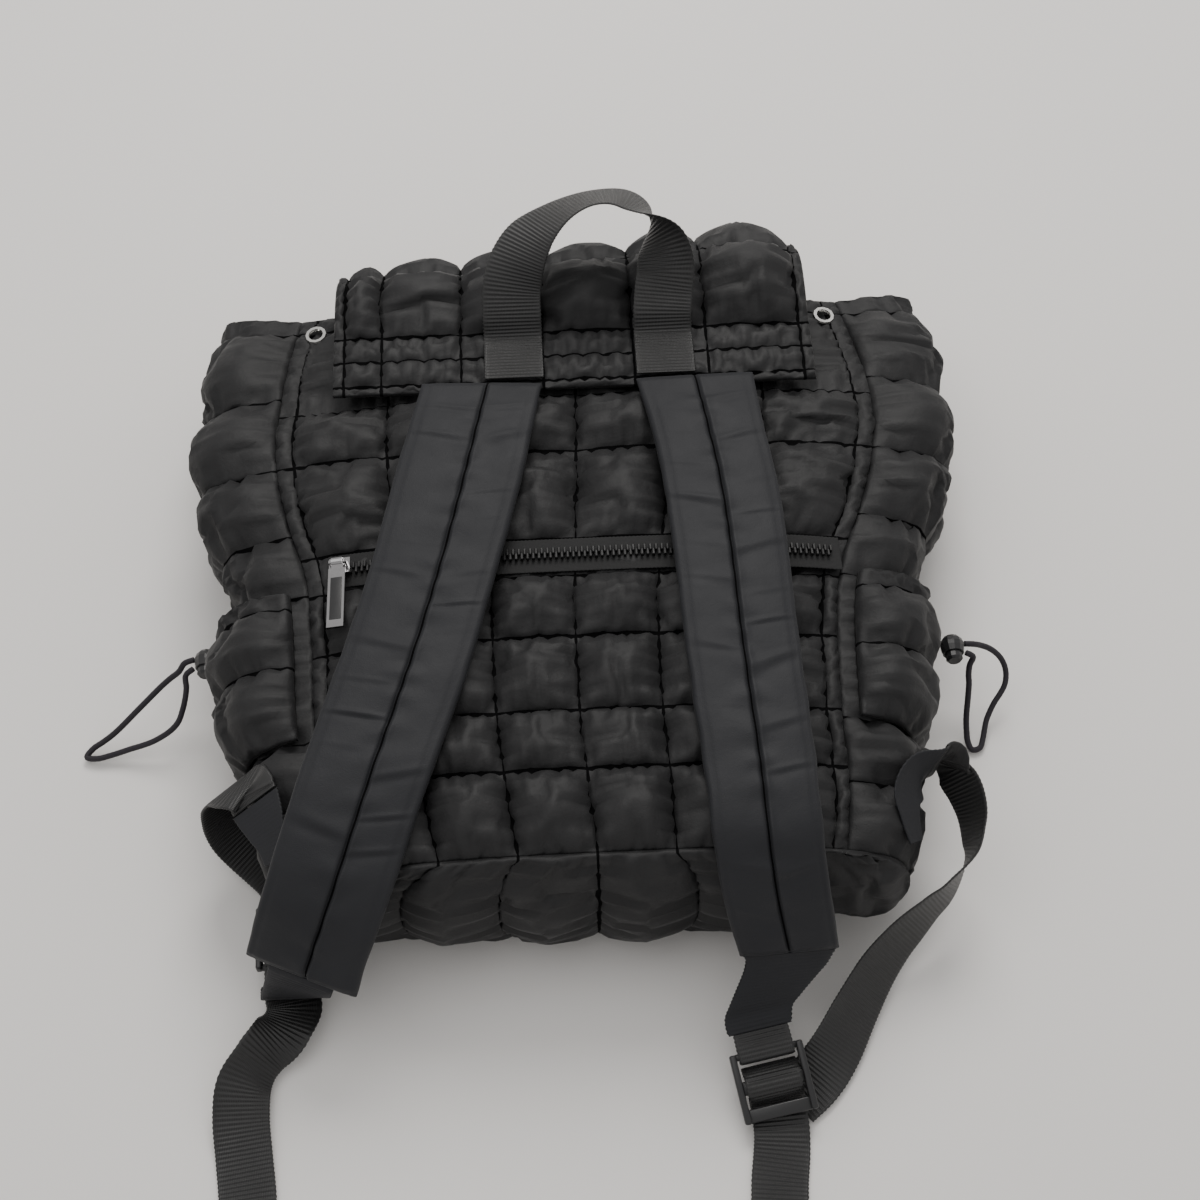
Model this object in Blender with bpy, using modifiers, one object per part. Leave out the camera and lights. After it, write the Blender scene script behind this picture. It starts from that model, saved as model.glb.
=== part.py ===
# Quilted puffer backpack, lying on its front with the strap side up.
#
# +X is the bag's right as seen from above, +Y points to its mouth and grab handle, +Z is up.
# The origin is on the surface that the bag rests on, under the middle of the front panel.
# All lengths are metres. Tables hold shares of the named sizes, chosen by hand.

import math
from collections import namedtuple

import bmesh
import bpy
from mathutils import Matrix, Vector

# Body
BODY_LENGTH = 0.332
BASE_Y = -0.172
HALF_WIDTH = 0.192
THICKNESS = 0.090
ROUNDNESS = 2.8
SIDE_SEAM = 0.79
WALL = 0.003
PUFF = 0.006
BASE_DOME = 0.008
HEM = 0.012
GAP = 0.0003

# Flap
FLAP_HALF_WIDTH = 0.122
FLAP_SEAM_Y = 0.083
FLAP_PUFF = 0.009
FLAP_END_Y = 0.037
RIDGE_SWELL = 0.009
FLAP_REST = 0.0066

# Side pockets
POCKET_LOW_Y = -0.108
POCKET_TOP_Y = -0.030
POCKET_DEPTH = 0.0085
POCKET_PUFF = 0.005
UNDER_POCKET = 0.3

# Shoulder straps
STRAP_WIDTH = 0.060
STRAP_THICK = 0.009
STRAP_TOP_Y = 0.0810
STRAP_END_Y = -0.2065
STRAP_END_Z = 0.050
TIP_THICK = 0.0026

# Webbing and strap adjusters
WEB_WIDTH = 0.025
WEB_THICK = 0.0015
LOCK_LENGTH = 0.030
LOCK_WIDTH = 0.033
LOCK_THICK = 0.003
LOCK_SLOT = 0.027
END_BAR = 0.003
MIDDLE_BAR = 0.006
LIP_BAR = 0.006

# Grab handle
HANDLE_WIDTH = 0.030

# Zip
ZIP_Y = -0.0205
ZIP_HALF_LENGTH = 0.122
ZIP_TAPE_WIDTH = 0.019
ZIP_TAPE_THICK = 0.0008
TEETH_WIDTH = 0.0062
TEETH_THICK = 0.0022
SLIDER_X = -0.1150
SLIDER_LENGTH = 0.010
SLIDER_WIDTH = 0.0085
SLIDER_THICK = 0.0013
BRIDGE_RADIUS = 0.0008
BRIDGE_RISE = 0.0032
PULLER_LENGTH = 0.037
PULLER_WIDTH = 0.0080
PULLER_THICK = 0.0016
PULLER_NECK = 0.0054
PULLER_EYE_WALL = 0.0008

# Eyelets
EYELET_FROM_SIDE = 0.057
EYELET_FROM_MOUTH = 0.0165
EYELET_X = HALF_WIDTH - EYELET_FROM_SIDE
EYELET_Y = BASE_Y + BODY_LENGTH - EYELET_FROM_MOUTH
EYELET_HOLE = 0.0035
EYELET_BARREL = 0.0040
EYELET_FLANGE = 0.0060
EYELET_LIP = 0.0009

# Cord locks and drawcords
CORD_DIAMETER = 0.003
LOCK_BALL = 0.0060
LOCK_BODY_LENGTH = 0.0105
BUTTON_RADIUS = 0.0042
BUTTON_OUT = 0.0042
BUTTON_SEAT = 0.0030


def along_body(y):
    """Share of the body's length at a place, from the base to the mouth."""
    return (y - BASE_Y) / BODY_LENGTH


# The body's sections: sideways lean and half width in shares of HALF_WIDTH, heights of THICKNESS.
Section = namedtuple("Section", "along lean half_width low high")
BODY_SECTIONS = [
    Section(0.000, -0.010, 0.720, 0.067, 0.950),
    Section(0.100, -0.022, 0.765, 0.055, 0.990),
    Section(0.220, -0.034, 0.790, 0.050, 1.010),
    Section(0.370, -0.032, 0.815, 0.050, 1.020),
    Section(0.460, -0.024, 0.850, 0.050, 1.020),
    Section(0.550, -0.016, 0.920, 0.060, 1.020),
    Section(0.655, -0.008, 0.980, 0.128, 1.010),
    Section(0.775, 0.000, 1.000, 0.130, 0.975),
    Section(0.910, 0.000, 0.975, 0.135, 0.890),
    Section(1.000, 0.000, 0.950, 0.140, 0.810),
]

# Seam lines across a panel, as shares of its half width or of its half height.
BACK_COLUMNS = [-1.0, -0.94, -0.627, -0.313, 0.0, 0.313, 0.627, 0.94, 1.0]
FRONT_COLUMNS = [-1.0, -0.715, -0.43, -0.145, 0.145, 0.43, 0.715, 1.0]
BASE_COLUMNS = [-1.0, -0.667, -0.333, 0.0, 0.333, 0.667, 1.0]
FLAP_COLUMNS = [-1.0, -0.80, -0.47, -0.13, 0.25, 0.56, 1.0]
GUSSET_COLUMNS = [-1.0, 0.0, 1.0]

# Rows along the body: where a row starts, as a share of the body's length, and how far it puffs,
# as a share of PUFF. The last row is the hem of the mouth.
Row = namedtuple("Row", "start puff")
HEM_START = 1.0 - HEM / BODY_LENGTH
ZIP_ROW = ZIP_TAPE_WIDTH * 0.57
BACK_ROWS = [Row(0.0, 1.0), Row(0.117, 0.9), Row(0.205, 0.8), Row(0.322, 1.0),
             Row(along_body(ZIP_Y - ZIP_ROW), 0.0), Row(along_body(ZIP_Y + ZIP_ROW), 1.0),
             Row(0.657, 0.9), Row(along_body(FLAP_SEAM_Y), 0.2), Row(HEM_START, 0.1)]
FRONT_ROWS = [Row(0.0, 1.0), Row(0.15, 1.0), Row(0.30, 1.0), Row(0.445, 1.0), Row(0.591, 0.7),
              Row(0.74, 0.7), Row(0.87, 0.7), Row(HEM_START, 0.1)]
GUSSET_ROWS = [Row(0.0, 1.0), Row(along_body(POCKET_LOW_Y) / 2, 1.0),
               Row(along_body(POCKET_LOW_Y), UNDER_POCKET), Row(along_body(POCKET_TOP_Y), 0.9),
               Row(0.533, 1.0), Row(0.657, 1.0), Row(0.807, 1.0), Row(HEM_START, 0.1)]
POCKET_ROWS = [Row(0.0, 1.0), Row(0.47, 1.0), Row(0.88, 0.2)]
FLAP_ROWS = [Row(0.0, 0.0), Row(0.115, 1.0), Row(0.265, 0.9), Row(0.415, 0.8), Row(0.565, 0.4),
             Row(0.71, 0.5), Row(0.855, 0.5)]

# Dents and folds of the soft back: middle and reach across and along the panel, and depth.
Dent = namedtuple("Dent", "across along reach_across reach_along depth")
DENTS = [
    Dent(0.10, 0.165, 0.75, 0.025, 0.0030),
    Dent(-0.05, 0.62, 0.28, 0.10, 0.0035),
    Dent(0.80, 0.30, 0.12, 0.22, 0.0040),
    Dent(-0.80, 0.78, 0.20, 0.06, 0.0030),
]

# The flap's inner face from its seam, over the ridge, to the end under the bag:
# y in shares of the body's length from the base, z in shares of its thickness.
Turn = namedtuple("Turn", "along height")
FLAP_PATH = [Turn(0.768, 1.018), Turn(0.820, 1.035), Turn(0.873, 1.045), Turn(0.938, 1.085),
             Turn(0.992, 1.065), Turn(1.034, 0.955), Turn(1.058, 0.755), Turn(1.062, 0.500),
             Turn(1.044, 0.265), Turn(1.005, 0.110)]
Swell = namedtuple("Swell", "across rise")
RIDGE = [Swell(-1.0, -0.5), Swell(-0.5, -0.25), Swell(0.0, 0.1), Swell(0.5, 0.9), Swell(0.8, 1.0),
         Swell(1.0, 0.5)]

# Shoulder straps: middle in shares of HALF_WIDTH and width in shares of STRAP_WIDTH.
Run = namedtuple("Run", "along middle width")
STRAP_RUNS = {
    "left": [Run(0.0, -0.244, 1.0), Run(0.20, -0.303, 1.02), Run(0.38, -0.363, 0.98),
             Run(0.54, -0.425, 0.98), Run(0.66, -0.479, 0.96), Run(0.79, -0.541, 0.92),
             Run(0.92, -0.616, 0.88), Run(0.97, -0.662, 0.88), Run(1.0, -0.688, 0.88)],
    "right": [Run(0.0, 0.311, 0.98), Run(0.13, 0.330, 0.91), Run(0.25, 0.346, 0.91),
              Run(0.40, 0.353, 0.88), Run(0.52, 0.354, 0.86), Run(0.66, 0.359, 0.83),
              Run(0.77, 0.365, 0.80), Run(0.87, 0.368, 0.78), Run(0.94, 0.384, 0.76),
              Run(1.0, 0.416, 0.73)],
}
# How far the strap's end turns away from square to the bag, in degrees.
STRAP_END_TURN = {"left": -24.0, "right": 0.0}

# A strap's section: across and height in shares of half its width and half its thickness.
Edge = namedtuple("Edge", "across height")
STRAP_SECTION = [Edge(-1.0, 0.0), Edge(-0.93, 0.75), Edge(-0.5, 1.0), Edge(-0.09, 0.85),
                 Edge(0.0, 0.55), Edge(0.09, 0.85), Edge(0.5, 1.0), Edge(0.93, 0.75), Edge(1.0, 0.0),
                 Edge(0.93, -0.8), Edge(0.0, -0.9), Edge(-0.93, -0.8)]

# Routes of webbing: a point, the direction of the webbing's width there.
Way = namedtuple("Way", "point across")
WEB_RIGHT = [
    Way((0.1618, -0.1250, 0.0605), (-0.15, 0.28, -0.92)),
    Way((0.1645, -0.1290, 0.0580), (-0.40, 0.10, -0.91)),
    Way((0.1680, -0.1355, 0.0550), (-0.40, 0.09, -0.91)),
    Way((0.1700, -0.1430, 0.0520), (-0.34, 0.13, -0.93)),
    Way((0.1702, -0.1503, 0.0490), (-0.26, 0.16, -0.95)),
    Way((0.1688, -0.1592, 0.0460), (-0.13, 0.25, -0.96)),
    Way((0.1658, -0.1655, 0.0425), (0.08, 0.30, -0.94)),
    Way((0.1600, -0.1725, 0.0380), (0.20, 0.15, -0.97)),
    Way((0.1552, -0.1771, 0.0345), (0.22, 0.04, -0.97)),
    Way((0.1487, -0.1815, 0.0310), (0.29, -0.02, -0.96)),
    Way((0.1399, -0.1880, 0.0260), (0.41, -0.13, -0.90)),
    Way((0.1321, -0.1945, 0.0215), (0.51, -0.18, -0.84)),
    Way((0.1232, -0.2040, 0.0170), (0.60, -0.26, -0.75)),
    Way((0.1120, -0.2200, 0.0125), (0.70, -0.32, -0.60)),
    Way((0.1010, -0.2370, 0.0085), (0.78, -0.42, -0.40)),
    Way((0.0905, -0.2490, 0.0046), (0.78, -0.58, -0.12)),
    Way((0.0800, -0.2575, 0.0028), (0.75, -0.66, 0.00)),
]
TAIL_RIGHT = [
    Way((0.0735, -0.2700, 0.0040), (0.96, 0.26, 0.00)),
    Way((0.0728, -0.2790, 0.0018), (0.98, 0.15, 0.00)),
    Way((0.0705, -0.2930, 0.0012), (1.00, 0.02, 0.00)),
    Way((0.0680, -0.3200, 0.0012), (1.00, -0.05, 0.00)),
]
WEB_LEFT = [
    Way((-0.1632, -0.1235, 0.0675), (-0.85, -0.38, -0.38)),
    Way((-0.1675, -0.1200, 0.0600), (-0.80, -0.55, -0.20)),
    Way((-0.1715, -0.1178, 0.0500), (-0.76, -0.64, -0.10)),
    Way((-0.1730, -0.1180, 0.0400), (-0.75, -0.66, 0.00)),
    Way((-0.1730, -0.1195, 0.0300), (-0.76, -0.64, 0.00)),
    Way((-0.1705, -0.1225, 0.0205), (-0.80, -0.60, 0.00)),
    Way((-0.1650, -0.1265, 0.0130), (-0.86, -0.50, 0.00)),
    Way((-0.1575, -0.1325, 0.0085), (-0.93, -0.36, 0.00)),
    Way((-0.1500, -0.1400, 0.0066), (-0.98, -0.20, 0.00)),
    Way((-0.1445, -0.1500, 0.0062), (-1.00, -0.05, 0.00)),
]
TAIL_LEFT = [
    Way((-0.1432, -0.1940, 0.0050), (-1.00, -0.05, 0.00)),
    Way((-0.1410, -0.2060, 0.0080), (-0.97, -0.12, 0.12)),
    Way((-0.1450, -0.2170, 0.0125), (-0.88, -0.30, 0.25)),
    Way((-0.1540, -0.2285, 0.0140), (-0.80, -0.30, 0.42)),
    Way((-0.1610, -0.2400, 0.0110), (-0.90, -0.15, 0.30)),
    Way((-0.1625, -0.2530, 0.0060), (-0.98, 0.00, 0.12)),
    Way((-0.1610, -0.2680, 0.0024), (-1.00, 0.05, 0.00)),
    Way((-0.1585, -0.2870, 0.0012), (-1.00, 0.08, 0.00)),
    Way((-0.1560, -0.3200, 0.0012), (-1.00, 0.08, 0.00)),
]
# Side tabs: place on the gusset (y, and height as a share from seam to seam), how far the cloth
# stands off the puffs, and the direction and size of its width there.
Tab = namedtuple("Tab", "y up stand across width")
SIDE_TABS = {
    "left": [Tab(-0.163, 0.60, 0.0, (-0.80, -0.10, -0.60), 0.010),
             Tab(-0.154, 0.64, 0.0, (-0.82, -0.15, -0.55), 0.016),
             Tab(-0.1445, 0.64, 0.0006, (-0.83, -0.20, -0.52), 0.022),
             Tab(-0.1350, 0.62, 0.0018, (-0.84, -0.26, -0.48), 0.026)],
    "right": [Tab(-0.166, 0.55, 0.0, (0.70, 0.10, -0.70), 0.010),
              Tab(-0.156, 0.66, 0.0004, (0.76, 0.12, -0.62), 0.013),
              Tab(-0.147, 0.70, 0.0010, (0.78, 0.15, -0.58), 0.018),
              Tab(-0.138, 0.64, 0.0030, (0.66, 0.25, -0.70), 0.023),
              Tab(-0.1300, 0.50, 0.0065, (0.25, 0.32, -0.90), 0.026)],
}
HANDLE = [
    Way((-0.0305, 0.1180, 0.1080), (1.00, 0.05, 0.05)),
    Way((-0.0300, 0.1280, 0.1180), (1.00, 0.05, 0.10)),
    Way((-0.0260, 0.1380, 0.1290), (0.92, -0.25, 0.20)),
    Way((-0.0180, 0.1480, 0.1370), (0.80, -0.50, 0.30)),
    Way((-0.0040, 0.1580, 0.1420), (0.45, -0.75, 0.45)),
    Way((0.0120, 0.1640, 0.1440), (0.10, -0.85, 0.50)),
    Way((0.0280, 0.1640, 0.1430), (-0.20, -0.85, 0.45)),
    Way((0.0400, 0.1570, 0.1390), (0.10, -0.90, 0.40)),
    Way((0.0470, 0.1460, 0.1310), (0.70, -0.60, 0.30)),
    Way((0.0485, 0.1350, 0.1220), (0.97, -0.20, 0.10)),
    Way((0.0470, 0.1260, 0.1140), (1.00, 0.00, 0.05)),
    Way((0.0460, 0.1180, 0.1080), (1.00, 0.00, 0.00)),
]

# Drawcord loops, from the cord lock and back to it.
DRAWCORDS = {
    "left": [(-0.1990, -0.0372, 0.0345), (-0.2089, -0.0407, 0.0270), (-0.2220, -0.0495, 0.0190),
             (-0.2355, -0.0579, 0.0100), (-0.2450, -0.0622, 0.0050), (-0.2500, -0.0648, 0.0030),
             (-0.2490, -0.0680, 0.0028), (-0.2400, -0.0678, 0.0042), (-0.2286, -0.0660, 0.0070),
             (-0.2150, -0.0645, 0.0120), (-0.2035, -0.0605, 0.0190), (-0.1990, -0.0545, 0.0260),
             (-0.1968, -0.0480, 0.0325)],
    "right": [(0.1920, -0.0450, 0.0365), (0.2000, -0.0452, 0.0315), (0.2060, -0.0478, 0.0255),
              (0.2082, -0.0525, 0.0205), (0.2070, -0.0580, 0.0160), (0.2020, -0.0640, 0.0115),
              (0.1978, -0.0708, 0.0065), (0.1955, -0.0780, 0.0035), (0.1935, -0.0835, 0.0022),
              (0.1900, -0.0860, 0.0020), (0.1875, -0.0830, 0.0028), (0.1868, -0.0780, 0.0055),
              (0.1866, -0.0720, 0.0110), (0.1872, -0.0658, 0.0180), (0.1876, -0.0600, 0.0250),
              (0.1872, -0.0555, 0.0310)],
}
CORD_LOCK_INSET = {"left": 0.0055, "right": 0.0130}
CORD_LOCK_PLACE = {
    "left": Vector((CORD_LOCK_INSET["left"] - HALF_WIDTH, -0.0365, 0.0390)),
    "right": Vector((HALF_WIDTH - CORD_LOCK_INSET["right"], -0.0470, 0.0390)),
}


def clear_scene():
    for item in list(bpy.data.objects):
        bpy.data.objects.remove(item, do_unlink=True)


def new_collection(name):
    collection = bpy.data.collections.new(name)
    bpy.context.scene.collection.children.link(collection)
    return collection


def make_material(name, color, roughness, metallic=0.0):
    material = bpy.data.materials.new(name)
    material.use_nodes = True
    shader = material.node_tree.nodes["Principled BSDF"]
    shader.inputs["Base Color"].default_value = (*color, 1.0)
    shader.inputs["Roughness"].default_value = roughness
    shader.inputs["Metallic"].default_value = metallic
    return material


# Curves through tables and points

def hermite(positions, values, at):
    """Smooth value at a position, through rows of a table."""
    last = len(positions) - 1
    at = min(max(at, positions[0]), positions[-1])
    index = next((i for i in range(last) if at <= positions[i + 1]), last - 1)
    slopes = []
    for i in (index, index + 1):
        low, high = max(i - 1, 0), min(i + 1, last)
        slopes.append((values[high] - values[low]) / (positions[high] - positions[low]))
    span = positions[index + 1] - positions[index]
    t = (at - positions[index]) / span
    return ((2 * t**3 - 3 * t**2 + 1) * values[index] + (t**3 - 2 * t**2 + t) * span * slopes[0]
            + (3 * t**2 - 2 * t**3) * values[index + 1] + (t**3 - t**2) * span * slopes[1])


def table_value(table, at, column):
    return hermite([row[0] for row in table], [getattr(row, column) for row in table], at)


def chord_lengths(points):
    total = [0.0]
    for before, after in zip(points, points[1:]):
        total.append(total[-1] + (after - before).length)
    return total


def resample(points, count, extra=None):
    """Evenly spaced points on a smooth curve through the given ones; extra vectors follow along."""
    marks = chord_lengths(points)
    fine = 12 * len(points)
    dense = [hermite(marks, points, marks[-1] * i / fine) for i in range(fine + 1)]
    dense_marks = chord_lengths(dense)
    result = []
    followers = []
    step = 0
    for i in range(count):
        goal = dense_marks[-1] * i / (count - 1)
        while step < fine - 1 and dense_marks[step + 1] < goal:
            step += 1
        share = (goal - dense_marks[step]) / (dense_marks[step + 1] - dense_marks[step])
        result.append(dense[step].lerp(dense[step + 1], min(share, 1.0)))
        if extra:
            followers.append(hermite(marks, extra, marks[-1] * (step + share) / fine))
    return (result, followers) if extra else result


def tangents(points):
    last = len(points) - 1
    return [(points[min(i + 1, last)] - points[max(i - 1, 0)]).normalized() for i in range(last + 1)]


# The body's outer form, in the valleys between the puffs

def body_size(y):
    along = along_body(y)
    lean = table_value(BODY_SECTIONS, along, "lean") * HALF_WIDTH
    half_width = table_value(BODY_SECTIONS, along, "half_width") * HALF_WIDTH
    low = table_value(BODY_SECTIONS, along, "low") * THICKNESS
    high = table_value(BODY_SECTIONS, along, "high") * THICKNESS
    return lean, half_width, (low + high) / 2, (high - low) / 2


def rounded(share):
    """The other coordinate of a superellipse, for one coordinate in shares of its half size."""
    return max(1.0 - abs(share) ** ROUNDNESS, 0.0) ** (1.0 / ROUNDNESS)


SEAM_HEIGHT = rounded(SIDE_SEAM)


def body_point(side, across, y):
    """A point of the body and its outward direction. across runs from -1 to 1 between two seams."""
    lean, half_width, middle, half_height = body_size(y)
    if side in ("back", "front"):
        x_share = across * SIDE_SEAM
        z_share = rounded(x_share) * (1 if side == "back" else -1)
    else:
        z_share = across * SEAM_HEIGHT
        x_share = rounded(z_share) * (1 if side == "right" else -1)
    point = Vector((lean + x_share * half_width, y, middle + z_share * half_height))
    outward = Vector((math.copysign(abs(x_share) ** (ROUNDNESS - 1), x_share) / half_width, 0.0,
                      math.copysign(abs(z_share) ** (ROUNDNESS - 1), z_share) / half_height))
    return point, outward.normalized()


def back_height(x, y):
    """Height of the back panel's puffs over a point of the plan."""
    lean, half_width, middle, half_height = body_size(y)
    return middle + half_height * rounded(min(abs(x - lean) / half_width, 1.0)) + PUFF


def dent_depth(across, along):
    depth = 0.0
    for dent in DENTS:
        reach = math.hypot((across - dent.across) / dent.reach_across, (along - dent.along) / dent.reach_along)
        depth += dent.depth * math.exp(-reach * reach)
    return depth


def cell_share(lines, at):
    """Which cell a place is in, and its share of the way through it."""
    index = next((i for i in range(len(lines) - 1) if at <= lines[i + 1] + 1e-9), len(lines) - 2)
    return index, (at - lines[index]) / (lines[index + 1] - lines[index])


def puff_shape(column_lines, row_lines, rows, across, along):
    """Height of the padding, from 0 on a seam to a row's full puff in the middle of a cell."""
    column, column_share = cell_share(column_lines, across)
    row, row_share = cell_share(row_lines, along)
    crown = max(math.sin(math.pi * column_share), 0.0) * max(math.sin(math.pi * row_share), 0.0)
    narrow = min(1.0, (column_lines[column + 1] - column_lines[column]) / 0.2)
    return rows[row].puff * narrow * crown ** 0.55


def divided(lines, steps, least=0.1, full=0.0):
    """Grid lines: each cell in steps, one less where it is shorter than full, one below least."""
    result = [lines[0]]
    for before, after in zip(lines, lines[1:]):
        size = after - before
        count = 1 if size < least else steps - 1 if size < full else steps
        result += [before + size * i / count for i in range(1, count + 1)]
    return result


def grounded(lines, middle):
    """Two steps to a cell, and three over the middle, where the bag stands on a flat cell."""
    result = [lines[0]]
    for before, after in zip(lines, lines[1:]):
        count = 3 if before < middle < after else 2
        result += [before + (after - before) * i / count for i in range(1, count + 1)]
    return result


# Solids

def finish_object(name, bm, collection, material):
    bmesh.ops.recalc_face_normals(bm, faces=bm.faces)
    mesh = bpy.data.meshes.new(name)
    bm.to_mesh(mesh)
    bm.free()
    item = bpy.data.objects.new(name, mesh)
    collection.objects.link(item)
    mesh.materials.append(material)
    return item


def skin_grid(bm, columns, rows, place):
    """A grid laid on a surface; place gives a point for a column line and a row line."""
    wide, long = len(columns) - 1, len(rows) - 1
    grid = bmesh.ops.create_grid(bm, x_segments=wide, y_segments=long, size=1.0)
    for vertex in grid["verts"]:
        column = round((vertex.co.x + 1.0) / 2.0 * wide)
        row = round((vertex.co.y + 1.0) / 2.0 * long)
        vertex.co = place(columns[column], rows[row])
    return grid["verts"]


def padded_panel(name, columns, rows, outer, inner, collection, material):
    """A closed padded wall between an outer and an inner skin on the same grid lines."""
    bm = bmesh.new()
    skin_grid(bm, columns, rows, outer)
    skin_grid(bm, columns, rows, inner)
    rim = [edge for edge in bm.edges if edge.is_boundary]
    bmesh.ops.bridge_loops(bm, edges=rim)
    return finish_object(name, bm, collection, material)


def loft(name, sections, collection, material):
    """A closed solid through closed sections with the same number of points."""
    bm = bmesh.new()
    rings = [[bm.verts.new(point) for point in section] for section in sections]
    count = len(rings[0])
    for before, after in zip(rings, rings[1:]):
        for i in range(count):
            bm.faces.new((before[i], before[(i + 1) % count], after[(i + 1) % count], after[i]))
    bm.faces.new(rings[0])
    bm.faces.new(list(reversed(rings[-1])))
    return finish_object(name, bm, collection, material)


def band(name, points, across, widths, thickness, collection, material, skew=False):
    """Webbing or tape: a flat section carried along a path, its width along the across vectors.

    The width is squared to the path, except in a skewed piece that tapers to one side.
    """
    sections = []
    for point, tangent, direction, width in zip(points, tangents(points), across, widths):
        squared = direction if skew else direction - tangent * direction.dot(tangent)
        side = squared.normalized() * width / 2
        lift = tangent.cross(side).normalized() * thickness / 2
        sections.append([point - side - lift, point + side - lift, point + side + lift, point - side + lift])
    return loft(name, sections, collection, material)


def turned(name, profile, steps, collection, material):
    """A turned piece: a closed or axis-to-axis profile of (radius, height) spun round Z."""
    bm = bmesh.new()
    ring = [bm.verts.new((radius, 0.0, height)) for radius, height in profile]
    for before, after in zip(ring, ring[1:]):
        bm.edges.new((before, after))
    if profile[0][0] > 0:
        bm.edges.new((ring[-1], ring[0]))
    bmesh.ops.spin(bm, geom=bm.verts[:] + bm.edges[:], axis=(0, 0, 1), cent=(0, 0, 0),
                   angle=2 * math.pi, steps=steps, use_merge=True)
    bmesh.ops.remove_doubles(bm, verts=bm.verts, dist=1e-6)
    return finish_object(name, bm, collection, material)


def place_object(item, matrix):
    item.matrix_world = matrix
    bpy.context.view_layer.update()


def cut(item, cutter, cutters):
    cutter.hide_render = True
    cutter.display_type = "WIRE"
    for collection in list(cutter.users_collection):
        collection.objects.unlink(cutter)
    cutters.objects.link(cutter)
    boolean = item.modifiers.new("cut_" + cutter.name, "BOOLEAN")
    boolean.operation = "DIFFERENCE"
    boolean.solver = "EXACT"
    boolean.object = cutter


def box_object(name, size, place, collection, material=None):
    bm = bmesh.new()
    bmesh.ops.create_cube(bm, size=1.0)
    bmesh.ops.scale(bm, vec=size, verts=bm.verts)
    item = finish_object(name, bm, collection, material)
    place_object(item, place)
    return item


# Body panels

def row_lines(rows):
    return [row.start for row in rows] + [1.0]


def resting_floor(y):
    """The front is pressed flat on the surface, or on the flap's end where that lies under it."""
    start, full = FLAP_END_Y - 0.012, FLAP_END_Y - 0.002
    share = min(max((y - start) / (full - start), 0.0), 1.0)
    return (FLAP_REST + GAP) * share


def body_panel(name, side, column_lines, rows, parts, material):
    lines = row_lines(rows)
    trim = {"back": GAP / 2 / (SIDE_SEAM * HALF_WIDTH), "front": 3 * GAP / (SIDE_SEAM * HALF_WIDTH)}
    edge = 1.0 - trim.get(side, GAP / THICKNESS)

    def surface(across, along, lift):
        y = BASE_Y + along * BODY_LENGTH
        point, outward = body_point(side, min(max(across, -edge), edge), y)
        if side == "back":
            lift -= dent_depth(across, along)
        return point + outward * lift

    def outer(across, along):
        lift = PUFF * puff_shape(column_lines, lines, rows, across, along)
        point = surface(across, along, lift)
        if side == "front":
            point.z = max(point.z, resting_floor(point.y))
        return point

    def inner(across, along):
        return surface(across, along, -WALL)

    if side == "front":
        columns, rows_cut = grounded(column_lines, 0.0), grounded(lines, along_body(0.0))
    else:
        columns, rows_cut = divided(column_lines, 3), divided(lines, 3, 0.07, 0.11)
    return padded_panel(name, columns, rows_cut, outer, inner, parts, material)


def base_panel(parts, material):
    """The end of the bag: one row of tall puffs, closing the body's open end."""

    def patch(across, up):
        back = body_point("back", across, BASE_Y)[0]
        front = body_point("front", across, BASE_Y)[0]
        left = body_point("left", up, BASE_Y)[0]
        right = body_point("right", up, BASE_Y)[0]
        u, v = (across + 1) / 2, (up + 1) / 2
        corners = [body_point(side, end, BASE_Y)[0] for side, end in
                   (("front", -1), ("front", 1), ("back", -1), ("back", 1))]
        flat = (corners[0] * (1 - u) + corners[1] * u) * (1 - v) + (corners[2] * (1 - u) + corners[3] * u) * v
        return front * (1 - v) + back * v + left * (1 - u) + right * u - flat

    def outer(across, up):
        crown = math.cos(across * math.pi / 2) ** 0.5 * math.cos(up * math.pi / 2) if abs(up) < 1 else 0.0
        puff = puff_shape(BASE_COLUMNS, [-1.0, 1.0], [Row(-1.0, 1.0)], across, up)
        return patch(across, up) - Vector((0, GAP + WALL + BASE_DOME * max(crown, 0.0) + PUFF * puff, 0))

    def inner(across, up):
        return patch(across, up) - Vector((0, GAP, 0))

    rows = [-1.0, -0.72, -0.3, 0.3, 0.72, 1.0]
    return padded_panel("base_panel", divided(BASE_COLUMNS, 3), rows, outer, inner, parts, material)


# Flap

def flap_points():
    """The flap's inner face as a path in the YZ plane."""
    bent = [Vector((0, BASE_Y + turn.along * BODY_LENGTH, turn.height * THICKNESS)) for turn in FLAP_PATH]
    under_start = BASE_Y + BODY_LENGTH * 0.945
    bent.append(Vector((0, under_start, FLAP_REST)))
    steps = 4
    bent += [Vector((0, under_start + (FLAP_END_Y - under_start) * i / steps, FLAP_REST))
             for i in range(1, steps + 1)]
    return bent


FLAP_LINE = resample(flap_points(), 121)


def flap_point(across, along, lift):
    """A point over the flap's inner face, lift outwards from it."""
    place = along * (len(FLAP_LINE) - 1)
    index = min(int(place), len(FLAP_LINE) - 2)
    middle = FLAP_LINE[index].lerp(FLAP_LINE[index + 1], place - index)
    before, after = FLAP_LINE[max(index - 1, 0)], FLAP_LINE[min(index + 2, len(FLAP_LINE) - 1)]
    outward = Vector((1, 0, 0)).cross((after - before).normalized())
    ridge_start, ridge_end = 0.10, 0.55
    share = min(max((along - ridge_start) / (ridge_end - ridge_start), 0.0), 1.0)
    swell = RIDGE_SWELL * table_value(RIDGE, across, "rise") * math.sin(math.pi * share) ** 2
    point = middle + outward * (lift + swell)
    point.x = across * FLAP_HALF_WIDTH
    return point


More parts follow.
